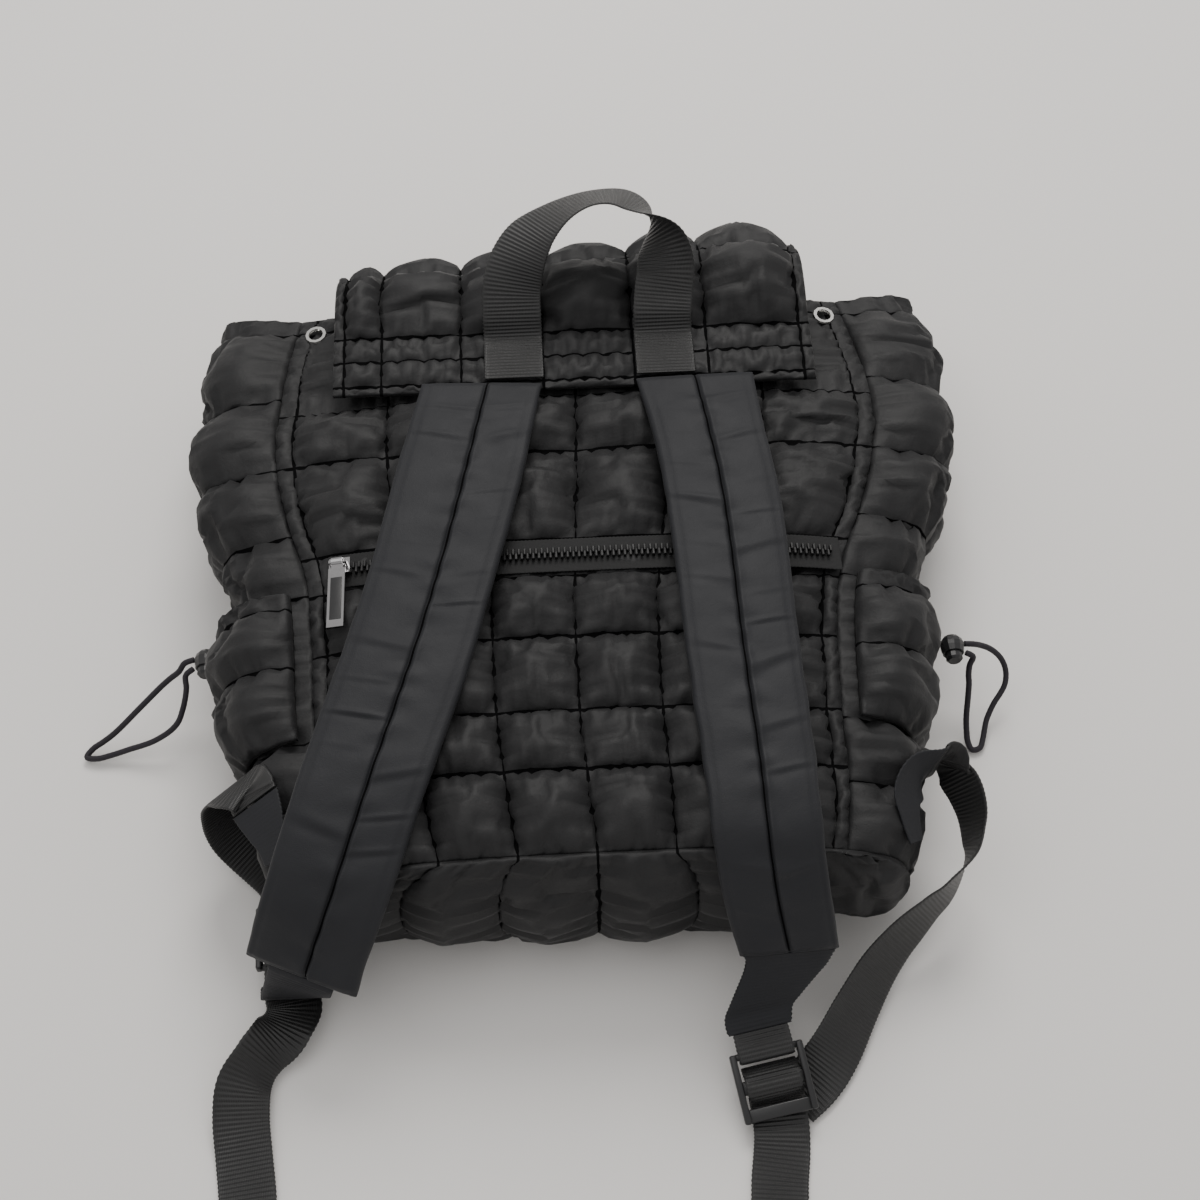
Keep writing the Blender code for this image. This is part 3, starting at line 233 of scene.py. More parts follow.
cords = {}
for side in ("left", "right"):
    route = resample(cord_route(side), 28)
    points = resample(route, 260)
    cord = braided_cord("drawcord_loop_" + side, points, CORD_DIAMETER)
    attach(cord, "bag")
    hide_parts("drawcord_" + side)
    length = chord_lengths(points)[-1]
    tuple(points[0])
    cords[side] = cord
    print("drawcord", side, round(length, 3))

# %% [markdown]
# The cloth is black nylon. Its weave is far finer than a pixel, so what shows is a soft gloss,
# faint creases and a little change of tone. An image of cloth could be mapped on it, but noise on
# Object coordinates needs no unwrapping and never shows a repeat. The finest creases are bump,
# and what is the same all over, such as the sheen, sits on the shader's own sockets.

# %% Cloth finishes
def shader_material(name, color, roughness, metallic=0.0, sheen=0.0, specular=0.5):
    """A plain material whose constants sit on the shader's own sockets."""
    material = bpy.data.materials.new(name)
    material.use_nodes = True
    shader = material.node_tree.nodes["Principled BSDF"]
    shader.inputs["Base Color"].default_value = (*color, 1.0)
    shader.inputs["Roughness"].default_value = roughness
    shader.inputs["Metallic"].default_value = metallic
    shader.inputs["Sheen Weight"].default_value = sheen
    shader.inputs["Sheen Roughness"].default_value = 0.4
    shader.inputs["Specular IOR Level"].default_value = specular
    return material, material.node_tree, shader


def add_node(tree, kind, **values):
    """A node with some of its inputs or settings given by name."""
    node = tree.nodes.new(kind)
    for key, value in values.items():
        socket = node.inputs.get(key)
        if socket is not None:
            socket.default_value = value
        else:
            setattr(node, key, value)
    return node


def noise_node(tree, vector, scale, detail=3.0, roughness=0.5):
    node = add_node(tree, "ShaderNodeTexNoise", Scale=scale, Detail=detail, Roughness=roughness)
    tree.links.new(vector, node.inputs["Vector"])
    return node.outputs["Fac"]


def mixed(tree, low, high, factor):
    node = tree.nodes.new("ShaderNodeMapRange")
    node.inputs["To Min"].default_value = low
    node.inputs["To Max"].default_value = high
    tree.links.new(factor, node.inputs["Value"])
    return node.outputs["Result"]


def bump(tree, height, distance, strength, below=None):
    node = add_node(tree, "ShaderNodeBump", Strength=strength, Distance=distance)
    tree.links.new(height, node.inputs["Height"])
    if below is not None:
        tree.links.new(below, node.inputs["Normal"])
    return node.outputs["Normal"]


def cloth_material(name, dark, light, roughness, crease, weave_scale, sheen=0.12, specular=0.42):
    """Woven nylon: a change of tone, creases, and a fine plain weave."""
    material, tree, shader = shader_material(name, dark, roughness, sheen=sheen, specular=specular)
    place = tree.nodes.new("ShaderNodeTexCoord").outputs["Object"]
    tone = tree.nodes.new("ShaderNodeMix")
    tone.data_type = "RGBA"
    tone.inputs["A"].default_value = (*dark, 1.0)
    tone.inputs["B"].default_value = (*light, 1.0)
    tree.links.new(noise_node(tree, place, 22.0, 4.0), tone.inputs["Factor"])
    tree.links.new(tone.outputs["Result"], shader.inputs["Base Color"])
    tree.links.new(mixed(tree, roughness - 0.07, roughness + 0.09, noise_node(tree, place, 60.0)),
                   shader.inputs["Roughness"])
    creases = bump(tree, noise_node(tree, place, 95.0, 5.0, 0.62), 0.0022, crease)
    weave = noise_node(tree, place, weave_scale, 1.0)
    tree.links.new(bump(tree, weave, 0.0003, 0.35, creases), shader.inputs["Normal"])
    return material


def ribbed_material(name, color, roughness, sheen):
    """Webbing or tape, whose ribs are in the mesh: threads run across them."""
    material, tree, shader = shader_material(name, color, roughness, sheen=sheen, specular=0.45)
    place = tree.nodes.new("ShaderNodeTexCoord").outputs["UV"]
    threads = add_node(tree, "ShaderNodeTexWave", Scale=420.0, Distortion=1.2)
    threads.bands_direction = "X"
    tree.links.new(place, threads.inputs["Vector"])
    tree.links.new(bump(tree, threads.outputs["Fac"], 0.0003, 0.4), shader.inputs["Normal"])
    tone = tree.nodes.new("ShaderNodeMix")
    tone.data_type = "RGBA"
    tone.inputs["A"].default_value = (*[value * 0.8 for value in color], 1.0)
    tone.inputs["B"].default_value = (*[value * 1.45 for value in color], 1.0)
    tree.links.new(noise_node(tree, place, 90.0), tone.inputs["Factor"])
    tree.links.new(tone.outputs["Result"], shader.inputs["Base Color"])
    return material


QUILT = cloth_material("puffer_nylon", (0.0120, 0.0120, 0.0126), (0.0190, 0.0188, 0.0198), 0.56, 0.30,
                       2600.0, sheen=0.03, specular=0.30)
STRAP = cloth_material("strap_twill", (0.0125, 0.0130, 0.0155), (0.0170, 0.0176, 0.0205), 0.60, 0.2,
                       2200.0, sheen=0.04, specular=0.28)
# Painted shade: a nearly black finish for the faces along each seam, standing in for the shade in its groove.
SEAM_SHADE = cloth_material("painted_seam_shade", (0.0018, 0.0018, 0.0020), (0.0032, 0.0032, 0.0035), 0.88, 0.1,
                      3000.0, sheen=0.0, specular=0.06)
CORD = cloth_material("braid", (0.0100, 0.0085, 0.0115), (0.0200, 0.0160, 0.0230), 0.7, 0.3, 1800.0)
WEBBING = ribbed_material("ribbed_webbing", (0.0150, 0.0148, 0.0150), 0.42, 0.06)
ZIP_TAPE = ribbed_material("zip_tape_cloth", (0.0060, 0.0060, 0.0064), 0.75, 0.02)
for cord in cords.values():
    cord.data.materials.append(CORD)
print("cloth finishes", len(bpy.data.materials))

# %% [markdown]
# The hard pieces are plated metal or moulded plastic. Real ones are never quite even, so a fine
# noise varies the gloss and adds a trace of bump.

# %% Metal and plastic
def hard_material(name, color, roughness, metallic, grain, specular=0.5):
    """Plastic or plated metal with fine wear in its gloss."""
    material, tree, shader = shader_material(name, color, roughness, metallic, specular=specular)
    place = tree.nodes.new("ShaderNodeTexCoord").outputs["Object"]
    tree.links.new(mixed(tree, roughness * 0.75, roughness * 1.3, noise_node(tree, place, 300.0)),
                   shader.inputs["Roughness"])
    tree.links.new(bump(tree, noise_node(tree, place, grain, 2.0), 0.0002, 0.12), shader.inputs["Normal"])
    return material


GUNMETAL = hard_material("plated_gunmetal", (0.36, 0.355, 0.36), 0.22, 1.0, 500.0)
NICKEL = hard_material("plated_nickel", (0.74, 0.73, 0.71), 0.18, 1.0, 400.0)
TEETH = hard_material("zip_teeth_black", (0.008, 0.008, 0.0085), 0.40, 0.0, 900.0, 0.22)
PLASTIC = hard_material("moulded_plastic", (0.016, 0.016, 0.017), 0.34, 0.0, 900.0)
print("finishes", len(bpy.data.materials))

# %% [markdown]
# The bag's form is a row of rounded sections, wide at the mouth and narrower at the base. The
# panels lie on it, and the quilting pulls their cloth down to it along each seam. It could be
# sculpted, but a superellipse has only a few numbers for each section, and panels, straps and
# tabs can all ask it where its surface is.

# %% The body's form
BODY_LENGTH = 0.332
BASE_Y = -0.172
HALF_WIDTH = 0.192
THICKNESS = 0.090
ROUNDNESS = 2.8
SIDE_SEAM = 0.79
WALL = 0.003
PUFF = 0.006
BASE_DOME = 0.008
HEM = 0.012
FLAP_HALF_WIDTH = 0.122
FLAP_SEAM_Y = 0.083
FLAP_PUFF = 0.009
FLAP_END_Y = 0.037
RIDGE_SWELL = 0.009
FLAP_REST = 0.0066
ZIP_Y = -0.0205
ZIP_TAPE_WIDTH = 0.019


def along_body(y):
    """Share of the body's length at a place, from the base to the mouth."""
    return (y - BASE_Y) / BODY_LENGTH


Section = namedtuple("Section", "along lean half_width low high")
BODY_SECTIONS = [
    Section(0.000, -0.010, 0.720, 0.067, 0.950),
    Section(0.100, -0.022, 0.765, 0.055, 0.990),
    Section(0.220, -0.034, 0.790, 0.050, 1.010),
    Section(0.370, -0.032, 0.815, 0.050, 1.020),
    Section(0.460, -0.024, 0.850, 0.050, 1.020),
    Section(0.550, -0.016, 0.920, 0.060, 1.020),
    Section(0.655, -0.008, 0.980, 0.128, 1.010),
    Section(0.775, 0.000, 1.000, 0.130, 0.975),
    Section(0.910, 0.000, 0.975, 0.135, 0.890),
    Section(1.000, 0.000, 0.950, 0.140, 0.810),
]


def body_size(y):
    along = along_body(y)
    lean = table_value(BODY_SECTIONS, along, "lean") * HALF_WIDTH
    half_width = table_value(BODY_SECTIONS, along, "half_width") * HALF_WIDTH
    low = table_value(BODY_SECTIONS, along, "low") * THICKNESS
    high = table_value(BODY_SECTIONS, along, "high") * THICKNESS
    return lean, half_width, (low + high) / 2, (high - low) / 2


def rounded(share):
    """The other coordinate of a superellipse, for one coordinate in shares of its half size."""
    return max(1.0 - abs(share) ** ROUNDNESS, 0.0) ** (1.0 / ROUNDNESS)


SEAM_HEIGHT = rounded(SIDE_SEAM)


def body_point(side, across, y):
    """A point of the body and its outward direction. across runs from -1 to 1 between two seams."""
    lean, half_width, middle, half_height = body_size(y)
    if side in ("back", "front"):
        x_share = across * SIDE_SEAM
        z_share = rounded(x_share) * (1 if side == "back" else -1)
    else:
        z_share = across * SEAM_HEIGHT
        x_share = rounded(z_share) * (1 if side == "right" else -1)
    point = Vector((lean + x_share * half_width, y, middle + z_share * half_height))
    outward = Vector((math.copysign(abs(x_share) ** (ROUNDNESS - 1), x_share) / half_width, 0.0,
                      math.copysign(abs(z_share) ** (ROUNDNESS - 1), z_share) / half_height))
    return point, outward.normalized()


def back_height(x, y):
    """Height of the back panel's puffs over a point of the plan."""
    lean, half_width, middle, half_height = body_size(y)
    return middle + half_height * rounded(min(abs(x - lean) / half_width, 1.0)) + PUFF


Dent = namedtuple("Dent", "across along reach_across reach_along depth")
DENTS = [
    Dent(0.10, 0.165, 0.75, 0.025, 0.0030),
    Dent(-0.05, 0.62, 0.28, 0.10, 0.0035),
    Dent(0.80, 0.30, 0.12, 0.22, 0.0040),
    Dent(-0.80, 0.78, 0.20, 0.06, 0.0030),
]


def dent_depth(across, along):
    """How far the loosely filled back sinks at a place, where the filling has moved away."""
    depth = 0.0
    for dent in DENTS:
        off_across = (across - dent.across) / dent.reach_across
        off_along = (along - dent.along) / dent.reach_along
        reach = math.hypot(off_across, off_along)
        depth += dent.depth * math.exp(-reach * reach)
    return depth


print("body", BODY_LENGTH, "m long,", 2 * HALF_WIDTH, "m wide,", THICKNESS, "m thick")


# %% [markdown]
# A puffer panel is two layers of cloth with filling, sewn through along lines. A displacement
# texture could raise the puffs, but it doesn't know where the seams are. So a fine grid is laid
# with grid lines exactly on the seams. The cloth stands off the body between the seams, and
# puckers where the elastic in the seams gathers it. The faces that touch a seam get a nearly
# black finish: painted shade, for the shade that lies in a real seam's groove.

# %% Quilting
Row = namedtuple("Row", "start puff gather")
SEAM_SINK = 0.0010
SEAM_HALF = 0.0008
CROWN_POWER = 0.62
FULL_PUFF_WIDE = 0.030
FULL_PUFF_LONG = 0.045
FOLD_HEIGHT = 0.0017
CREASE_HEIGHT = 0.0017
COLUMN_FOLDS = {"reach": 0.013, "pitch": 0.0085}
ROW_FOLDS = {"reach": 0.007, "pitch": 0.0095}
PUCKER_OFF = 0.0030
CORNER_FADE = 0.005
SEAM_FADE = 0.0016
UNEVEN = 0.22
CREASES_PER_METRE = (38.0, 26.0)


def cell_share(lines, at):
    """Which cell a place is in, and its share of the way through it."""
    index = next((i for i in range(len(lines) - 1) if at <= lines[i + 1] + 1e-9), len(lines) - 2)
    return index, (at - lines[index]) / (lines[index + 1] - lines[index])


def grid_lines(lines, spacing, beside):
    """Grid lines on the seams, close beside them and even between; and the seams' places."""
    result = [lines[0]]
    seams = [0]
    for before, after in zip(lines, lines[1:]):
        count = max(3, round((after - before) / spacing))
        step = (after - before) / count
        close = min(beside, step * 0.4)
        result += [before + close]
        result += [before + step * i for i in range(1, count)]
        result += [after - close, after]
        seams.append(len(result) - 1)
    return result, seams


def pucker(distance, along_seam, seed, reach, pitch):
    """Height of the small folds that stand across a gathered seam, near it."""
    wander = noise.noise(Vector((along_seam / (pitch * 1.6), seed * 3.7, 0.3)))
    wave = math.sin(2 * math.pi * along_seam / pitch + 5.0 * wander + seed * 2.1)
    return (wave * 0.5 + 0.15) * bell(distance - PUCKER_OFF, reach)


class Quilt:
    """One padded panel: where its seams are, how far each row puffs and how it is gathered."""

    def __init__(self, columns, rows, wide, long, puff, gather_columns, gather_rows, seed):
        self.columns = columns
        self.row_lines = [row.start for row in rows] + [1.0]
        self.rows = rows
        self.wide = wide
        self.long = long
        self.puff = puff
        self.gather_columns = gather_columns
        self.gather_rows = gather_rows
        self.seed = seed

    def lift(self, across, along):
        """Height of the cloth over the body: a puff in each cell, folds at its seams, creases on it."""
        column, u = cell_share(self.columns, across)
        row, v = cell_share(self.row_lines, along)
        x, y = across * self.wide, along * self.long
        cell_wide = (self.columns[column + 1] - self.columns[column]) * self.wide
        cell_long = (self.row_lines[row + 1] - self.row_lines[row]) * self.long
        narrowing = min(1.0, cell_wide / FULL_PUFF_WIDE, 0.35 + cell_long / FULL_PUFF_LONG)
        full = self.rows[row].puff * self.puff * narrowing
        crown = (max(math.sin(math.pi * u), 0.0) ** CROWN_POWER
                 * max(math.sin(math.pi * v), 0.0) ** CROWN_POWER)
        own = noise.noise(Vector((column * 1.7 + self.seed, row * 2.3, self.seed)))
        height = full * crown * (1.0 + UNEVEN * own)
        side = min(u, 1 - u) * cell_wide
        end = min(v, 1 - v) * cell_long
        near_column = column if u < 0.5 else column + 1
        near_row = row if v < 0.5 else row + 1
        folds = (pucker(side, y, near_column + self.seed, **COLUMN_FOLDS) * self.gather_columns
                 * min(1.0, end / CORNER_FADE))
        folds += (pucker(end, x, near_row * 1.3 + self.seed, **ROW_FOLDS) * self.gather_rows * 0.7
                  * self.rows[row].gather * min(1.0, side / CORNER_FADE))
        folds *= min(1.0, min(side, end) / SEAM_FADE)
        place = Vector((x * CREASES_PER_METRE[0], y * CREASES_PER_METRE[1], self.seed * 5.0))
        creases = noise.noise(place) * 0.5 + noise.noise(place * 2.7) * 0.28
        return height - SEAM_SINK + folds * FOLD_HEIGHT + crown * (SEAM_SINK + creases * CREASE_HEIGHT)


def quilt_grid(quilt, spacing, place):
    """The panel's outer cloth, with the numbers of the vertices on its seams."""
    columns, seam_columns = grid_lines(quilt.columns, spacing / quilt.wide, SEAM_HALF / quilt.wide)
    rows, seam_rows = grid_lines(quilt.row_lines, spacing / quilt.long, SEAM_HALF / quilt.long)
    wide, long = len(columns) - 1, len(rows) - 1
    bm = bmesh.new()
    made = bmesh.ops.create_grid(bm, x_segments=wide, y_segments=long, size=1.0)
    pinned = []
    on_seam = set()
    order = {}
    for vertex in made["verts"]:
        column = round((vertex.co.x + 1.0) / 2.0 * wide)
        row = round((vertex.co.y + 1.0) / 2.0 * long)
        order[vertex.index] = (columns[column], rows[row])
        vertex.co = place(columns[column], rows[row], quilt.lift(columns[column], rows[row]))
        if column in seam_columns or row in seam_rows:
            pinned.append(vertex.index)
        if column in seam_columns[1:-1] or row in seam_rows[1:-1]:
            on_seam.add(vertex.index)
    # Faces that touch an inner seam get the second finish, the painted seam shade.
    for face in bm.faces:
        face.material_index = 1 if any(vertex.index in on_seam for vertex in face.verts) else 0
    return bm, pinned, order


# %% [markdown]
# A formula alone makes puffs that are too regular. A short cloth simulation with pressure and
# some spare cloth lets real creases form, while the vertices on the seams stay pinned. What a
# vertex may move is capped, so the panel keeps to the size of its solid.

# %% Inflating
SIM_FRAMES = 14
PRESSURE = 6.0
STIFFNESS = 12.0
SPARE_CLOTH = 0.08
FARTHEST = 0.005


def inflate(item, pinned, pressure):
    """Cloth with pressure from inside and spare length, pinned on its seams."""
    before = [vertex.co.copy() for vertex in item.data.vertices]
    group = item.vertex_groups.new(name="seams")
    group.add(pinned, 1.0, "REPLACE")
    modifier = item.modifiers.new("cloth", "CLOTH")
    settings = modifier.settings
    settings.vertex_group_mass = "seams"
    settings.quality = 4
    settings.mass = 0.12
    settings.tension_stiffness = STIFFNESS
    settings.compression_stiffness = STIFFNESS
    settings.shear_stiffness = 4.0
    settings.bending_stiffness = 0.08
    settings.shrink_min = -SPARE_CLOTH
    settings.use_pressure = True
    settings.uniform_pressure_force = pressure
    settings.effector_weights.gravity = 0.0
    modifier.collision_settings.use_collision = False
    modifier.point_cache.frame_start = 1
    modifier.point_cache.frame_end = SIM_FRAMES
    for number in range(1, SIM_FRAMES + 1):
        bpy.context.scene.frame_set(number)
    shaped = item.evaluated_get(bpy.context.evaluated_depsgraph_get())
    after = [vertex.co.copy() for vertex in shaped.data.vertices]
    item.modifiers.remove(modifier)
    item.vertex_groups.remove(group)
    bpy.context.scene.frame_set(1)
    for vertex, old, new in zip(item.data.vertices, before, after):
        step = new - old
        if step.length > FARTHEST:
            step = step.normalized() * FARTHEST
        vertex.co = old + step


print("pressure", PRESSURE, "for", SIM_FRAMES, "frames")

# %% [markdown]
# The bag is a real wall round an empty inside, so each panel needs a second layer. A Solidify
# modifier could add it, but it would copy every puff inwards, and the inner cloth of a quilt lies
# flatter. So the outer cloth is copied, the copy is laid a wall's thickness inside the body's form
# and turned round, and the two layers are joined along their rim.

# %% Closed panels
def dressed(item, body, node, slot, *materials):
    """Gives a piece its finishes, the body it rides on and the solid that it replaces. Its slot is not used.
    """
    for material in materials:
        item.data.materials.append(material)
    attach(item, body)
    if node:
        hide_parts(node)


def closed_panel(name, quilt, spacing, place, node, pressure=PRESSURE, floor=None):
    """Grid, simulation, and then the inner layer of cloth, joined round the edge."""
    bm, pinned, order = quilt_grid(quilt, spacing, place)
    item = new_object(name, bm)
    if pressure:
        inflate(item, pinned, pressure)
    bm = bmesh.new()
    bm.from_mesh(item.data)
    if floor is not None:
        for vertex in bm.verts:
            vertex.co.z = max(vertex.co.z, floor(vertex.co))
    bm.verts.ensure_lookup_table()
    copied = bmesh.ops.duplicate(bm, geom=bm.verts[:] + bm.edges[:] + bm.faces[:])
    pairs = copied["vert_map"]
    for vertex in list(bm.verts)[:len(order)]:
        pairs[vertex].co = place(*order[vertex.index], -WALL)
    inner = [face for face in copied["geom"] if isinstance(face, bmesh.types.BMFace)]
    bmesh.ops.reverse_faces(bm, faces=inner)
    rim = [edge for edge in bm.edges if edge.is_boundary]
    bmesh.ops.bridge_loops(bm, edges=rim)
    bmesh.ops.recalc_face_normals(bm, faces=bm.faces)
    bm.to_mesh(item.data)
    bm.free()
    item.data.shade_smooth()
    dressed(item, "bag", node, "quilted_nylon", QUILT, SEAM_SHADE)
    print(name, len(item.data.polygons), "faces")


# %% [markdown]
# The back panel has six columns of puffs between two narrow gathered strips, and a flat row for
# the zip. It reaches from the base to the hem of the mouth, under the flap. The same helper
# also places the side cloth, which stands out in an ear at each corner of the mouth.

# %% Back panel
HEM_START = 1.0 - HEM / BODY_LENGTH
BACK_COLUMNS = [-1.0, -0.94, -0.627, -0.313, 0.0, 0.313, 0.627, 0.94, 1.0]
ZIP_ROW = ZIP_TAPE_WIDTH * 0.57
BACK_ROWS = [
    Row(0.0, 1.0, 0.8), Row(0.117, 0.9, 1.0), Row(0.205, 0.8, 1.0), Row(0.322, 1.0, 0.8),
    Row(along_body(ZIP_Y - ZIP_ROW), 0.0, 0.0), Row(along_body(ZIP_Y + ZIP_ROW), 1.0, 0.6),
    Row(0.657, 0.9, 0.8), Row(along_body(FLAP_SEAM_Y), 0.2, 0.5), Row(HEM_START, 0.1, 1.0),
]
SPACING = 0.0026
BACK_HALF_WIDE = 0.150
BACK_EDGE = 0.9994
EAR_RISE = 0.011
EAR_SPREAD = 0.009
EAR_START = 0.78
EAR_REACH = 0.22


def on_body(side, edge):
    """Place on one side of the body, for a panel's across, along and lift."""

    def place(across, along, lift):
        y = BASE_Y + along * BODY_LENGTH
        point, outward = body_point(side, min(max(across, -edge), edge), y)
        if side == "back":
            lift -= dent_depth(across, along)
        if side in ("left", "right"):
            ear = max(0.0, (along - EAR_START) / EAR_REACH) ** 1.6 * (1.0 - across * across)
            point.y += EAR_RISE * ear
            lift += EAR_SPREAD * ear
        return point + outward * lift

    return place


back_quilt = Quilt(BACK_COLUMNS, BACK_ROWS, BACK_HALF_WIDE, BODY_LENGTH, PUFF * 1.3, 1.0, 0.8, 1)
closed_panel("back_cloth", back_quilt, SPACING, on_body("back", BACK_EDGE), "back_panel")

# %% [markdown]
# The front panel carries the bag: it is pressed flat on the surface it lies on, with the end of
# the flap under its upper part. A simulation with gravity could press it, but raising each vertex
# to the height of what it rests on gives the same flat underside at once. It is hardly seen, so
# its grid is coarser and it isn't inflated.

# %% Front panel
FRONT_COLUMNS = [-1.0, -0.715, -0.43, -0.145, 0.145, 0.43, 0.715, 1.0]
FRONT_ROWS = [Row(0.0, 1.0, 1.0), Row(0.15, 1.0, 1.0), Row(0.30, 1.0, 1.0), Row(0.445, 1.0, 1.0),
              Row(0.591, 0.7, 1.0), Row(0.74, 0.7, 1.0), Row(0.87, 0.7, 1.0), Row(HEM_START, 0.1, 1.0)]
FRONT_SPACING = 0.004
FRONT_EDGE = 0.994


def resting_floor(point):
    """The front is pressed flat on the surface, or on the flap's end where that lies under it."""
    start, full = FLAP_END_Y - 0.012, FLAP_END_Y - 0.002
    share = min(max((point.y - start) / (full - start), 0.0), 1.0)
    return (FLAP_REST + GAP) * share


front_quilt = Quilt(FRONT_COLUMNS, FRONT_ROWS, BACK_HALF_WIDE, BODY_LENGTH, PUFF, 0.8, 0.8, 2)
closed_panel("front_cloth", front_quilt, FRONT_SPACING, on_body("front", FRONT_EDGE), "front_panel",
             pressure=0, floor=resting_floor)

# %% [markdown]
# Each side has two columns of puffs. Elastic in the seams shortens them, so the outline from
# above is a row of bulges with deep notches. The two grids face opposite ways, so the pressure
# has the other sign on the right.

# %% Sides
POCKET_LOW_Y = -0.108
POCKET_TOP_Y = -0.030
UNDER_POCKET = 0.3
SIDE_HALF_WIDE = 0.042
SIDE_EDGE = 0.9992
GUSSET_COLUMNS = [-1.0, 0.0, 1.0]
GUSSET_ROWS = [
    Row(0.0, 1.0, 1.0), Row(along_body(POCKET_LOW_Y) / 2, 1.0, 1.0),
    Row(along_body(POCKET_LOW_Y), UNDER_POCKET, 0.5), Row(along_body(POCKET_TOP_Y), 0.9, 1.0),
    Row(0.533, 1.0, 1.0), Row(0.657, 1.0, 1.0), Row(0.807, 1.0, 1.0), Row(HEM_START, 0.1, 1.0),
]
INSIDE = {"left": 1, "right": -1}
for number, side in enumerate(("left", "right")):
    quilt = Quilt(GUSSET_COLUMNS, GUSSET_ROWS, SIDE_HALF_WIDE, BODY_LENGTH, PUFF * 1.3, 1.1, 1.1, 3 + number)
    closed_panel("side_cloth_" + side, quilt, SPACING, on_body(side, SIDE_EDGE), "gusset_" + side,
                 pressure=PRESSURE * INSIDE[side])

# %% [markdown]
# The base is one row of tall puffs that closes the end of the bag. Its outline is the body's first
# section, so its cloth is a patch blended between the four edges of that section. That way it
# meets the other panels all round, which a flat panel would not.

# %% Base
BASE_COLUMNS = [-1.0, -0.627, -0.313, 0.0, 0.313, 0.627, 1.0]
BASE_HALF_WIDE = 0.132
BASE_HIGH = 0.078


def on_base(across, along, lift):
    """Place on the base: a patch between the four edges of the body's end."""
    up = 2 * along - 1
    back_edge = body_point("back", across, BASE_Y)[0]
    front_edge = body_point("front", across, BASE_Y)[0]
    left_edge = body_point("left", up, BASE_Y)[0]
    right_edge = body_point("right", up, BASE_Y)[0]
    u, v = (across + 1) / 2, along
    corners = [body_point(side, end, BASE_Y)[0] for side, end in
               (("front", -1), ("front", 1), ("back", -1), ("back", 1))]
    flat = (corners[0] * (1 - u) + corners[1] * u) * (1 - v) + (corners[2] * (1 - u) + corners[3] * u) * v
    patch = front_edge * (1 - v) + back_edge * v + left_edge * (1 - u) + right_edge * u - flat
    if lift <= -WALL:
        return patch - Vector((0, GAP, 0))
    crown = 0.0
    if abs(up) < 1:
        crown = max(math.cos(across * math.pi / 2), 0.0) ** 0.5 * math.cos(up * math.pi / 2)
    return patch - Vector((0, GAP + WALL + BASE_DOME * max(crown, 0.0) + lift, 0))


base_quilt = Quilt(BASE_COLUMNS, [Row(0.0, 1.0, 1.0)], BASE_HALF_WIDE, BASE_HIGH, PUFF * 1.1, 0.9, 0.9, 6)
closed_panel("base_cloth", base_quilt, SPACING, on_base, "base_panel")

# %% [markdown]
# The flap is sewn to the back along a gathered band, rises over a ridge of big puffs and goes
# down over the mouth to the underside, where the bag lies on it. It could be draped as cloth, but
# it is stiff with filling and keeps its curve. So the curve is drawn once, from the side, and the
# quilt is laid along it.

# %% Flap
Turn = namedtuple("Turn", "along height")
FLAP_PATH = [Turn(0.768, 1.018), Turn(0.820, 1.035), Turn(0.873, 1.045), Turn(0.938, 1.085),
             Turn(0.992, 1.065), Turn(1.034, 0.955), Turn(1.058, 0.755), Turn(1.062, 0.500),
             Turn(1.044, 0.265), Turn(1.005, 0.110)]
Swell = namedtuple("Swell", "across rise")
RIDGE = [Swell(-1.0, -0.5), Swell(-0.5, -0.25), Swell(0.0, 0.1), Swell(0.5, 0.9), Swell(0.8, 1.0),
         Swell(1.0, 0.5)]
RIDGE_START = 0.10
RIDGE_REACH = 0.45


def flap_path():
    """The flap's inner face as a path in the YZ plane."""
    bent = [Vector((0, BASE_Y + turn.along * BODY_LENGTH, turn.height * THICKNESS)) for turn in FLAP_PATH]
    under_start = BASE_Y + BODY_LENGTH * 0.945
    steps = 4
    return bent + [Vector((0, under_start + (FLAP_END_Y - under_start) * i / steps, FLAP_REST))
                   for i in range(steps + 1)]


FLAP_LINE = resample(flap_path(), 121)


def on_flap(across, along, lift):
    """A point over the flap's inner face, WALL and lift outwards from it."""
    place = along * (len(FLAP_LINE) - 1)
    index = min(int(place), len(FLAP_LINE) - 2)
    middle = FLAP_LINE[index].lerp(FLAP_LINE[index + 1], place - index)
    before, after = FLAP_LINE[max(index - 1, 0)], FLAP_LINE[min(index + 2, len(FLAP_LINE) - 1)]
    outward = Vector((1, 0, 0)).cross((after - before).normalized())
    share = min(max((along - RIDGE_START) / RIDGE_REACH, 0.0), 1.0)
    swell = RIDGE_SWELL * table_value(RIDGE, across, "rise") * math.sin(math.pi * share) ** 2
    point = middle + outward * (WALL + lift + swell)
    point.x = across * FLAP_HALF_WIDTH
    return point


FLAP_COLUMNS = [-1.0, -0.955, -0.80, -0.47, -0.13, 0.25, 0.56, 0.955, 1.0]
FLAP_ROWS = [Row(0.0, 0.20, 0.3), Row(0.014, 0.18, 2.2), Row(0.064, 0.18, 2.2), Row(0.115, 1.0, 1.2),
             Row(0.265, 0.9, 1.0), Row(0.415, 0.8, 1.0), Row(0.565, 0.4, 1.0), Row(0.71, 0.5, 1.0),
             Row(0.855, 0.5, 1.0)]
FLAP_LENGTH = chord_lengths(FLAP_LINE)[-1]
flap_quilt = Quilt(FLAP_COLUMNS, FLAP_ROWS, FLAP_HALF_WIDTH, FLAP_LENGTH, FLAP_PUFF * 1.05, 1.0, 1.0, 7)
closed_panel("flap_cloth", flap_quilt, SPACING, on_flap, "flap", floor=lambda point: 0.0)

# %% [markdown]
# The side pockets are shallow pouches on the sides, with a corded hem at the top. They are the
# side's own quilting once more, lifted off it most in the middle, so that each pocket follows the
# side under it.

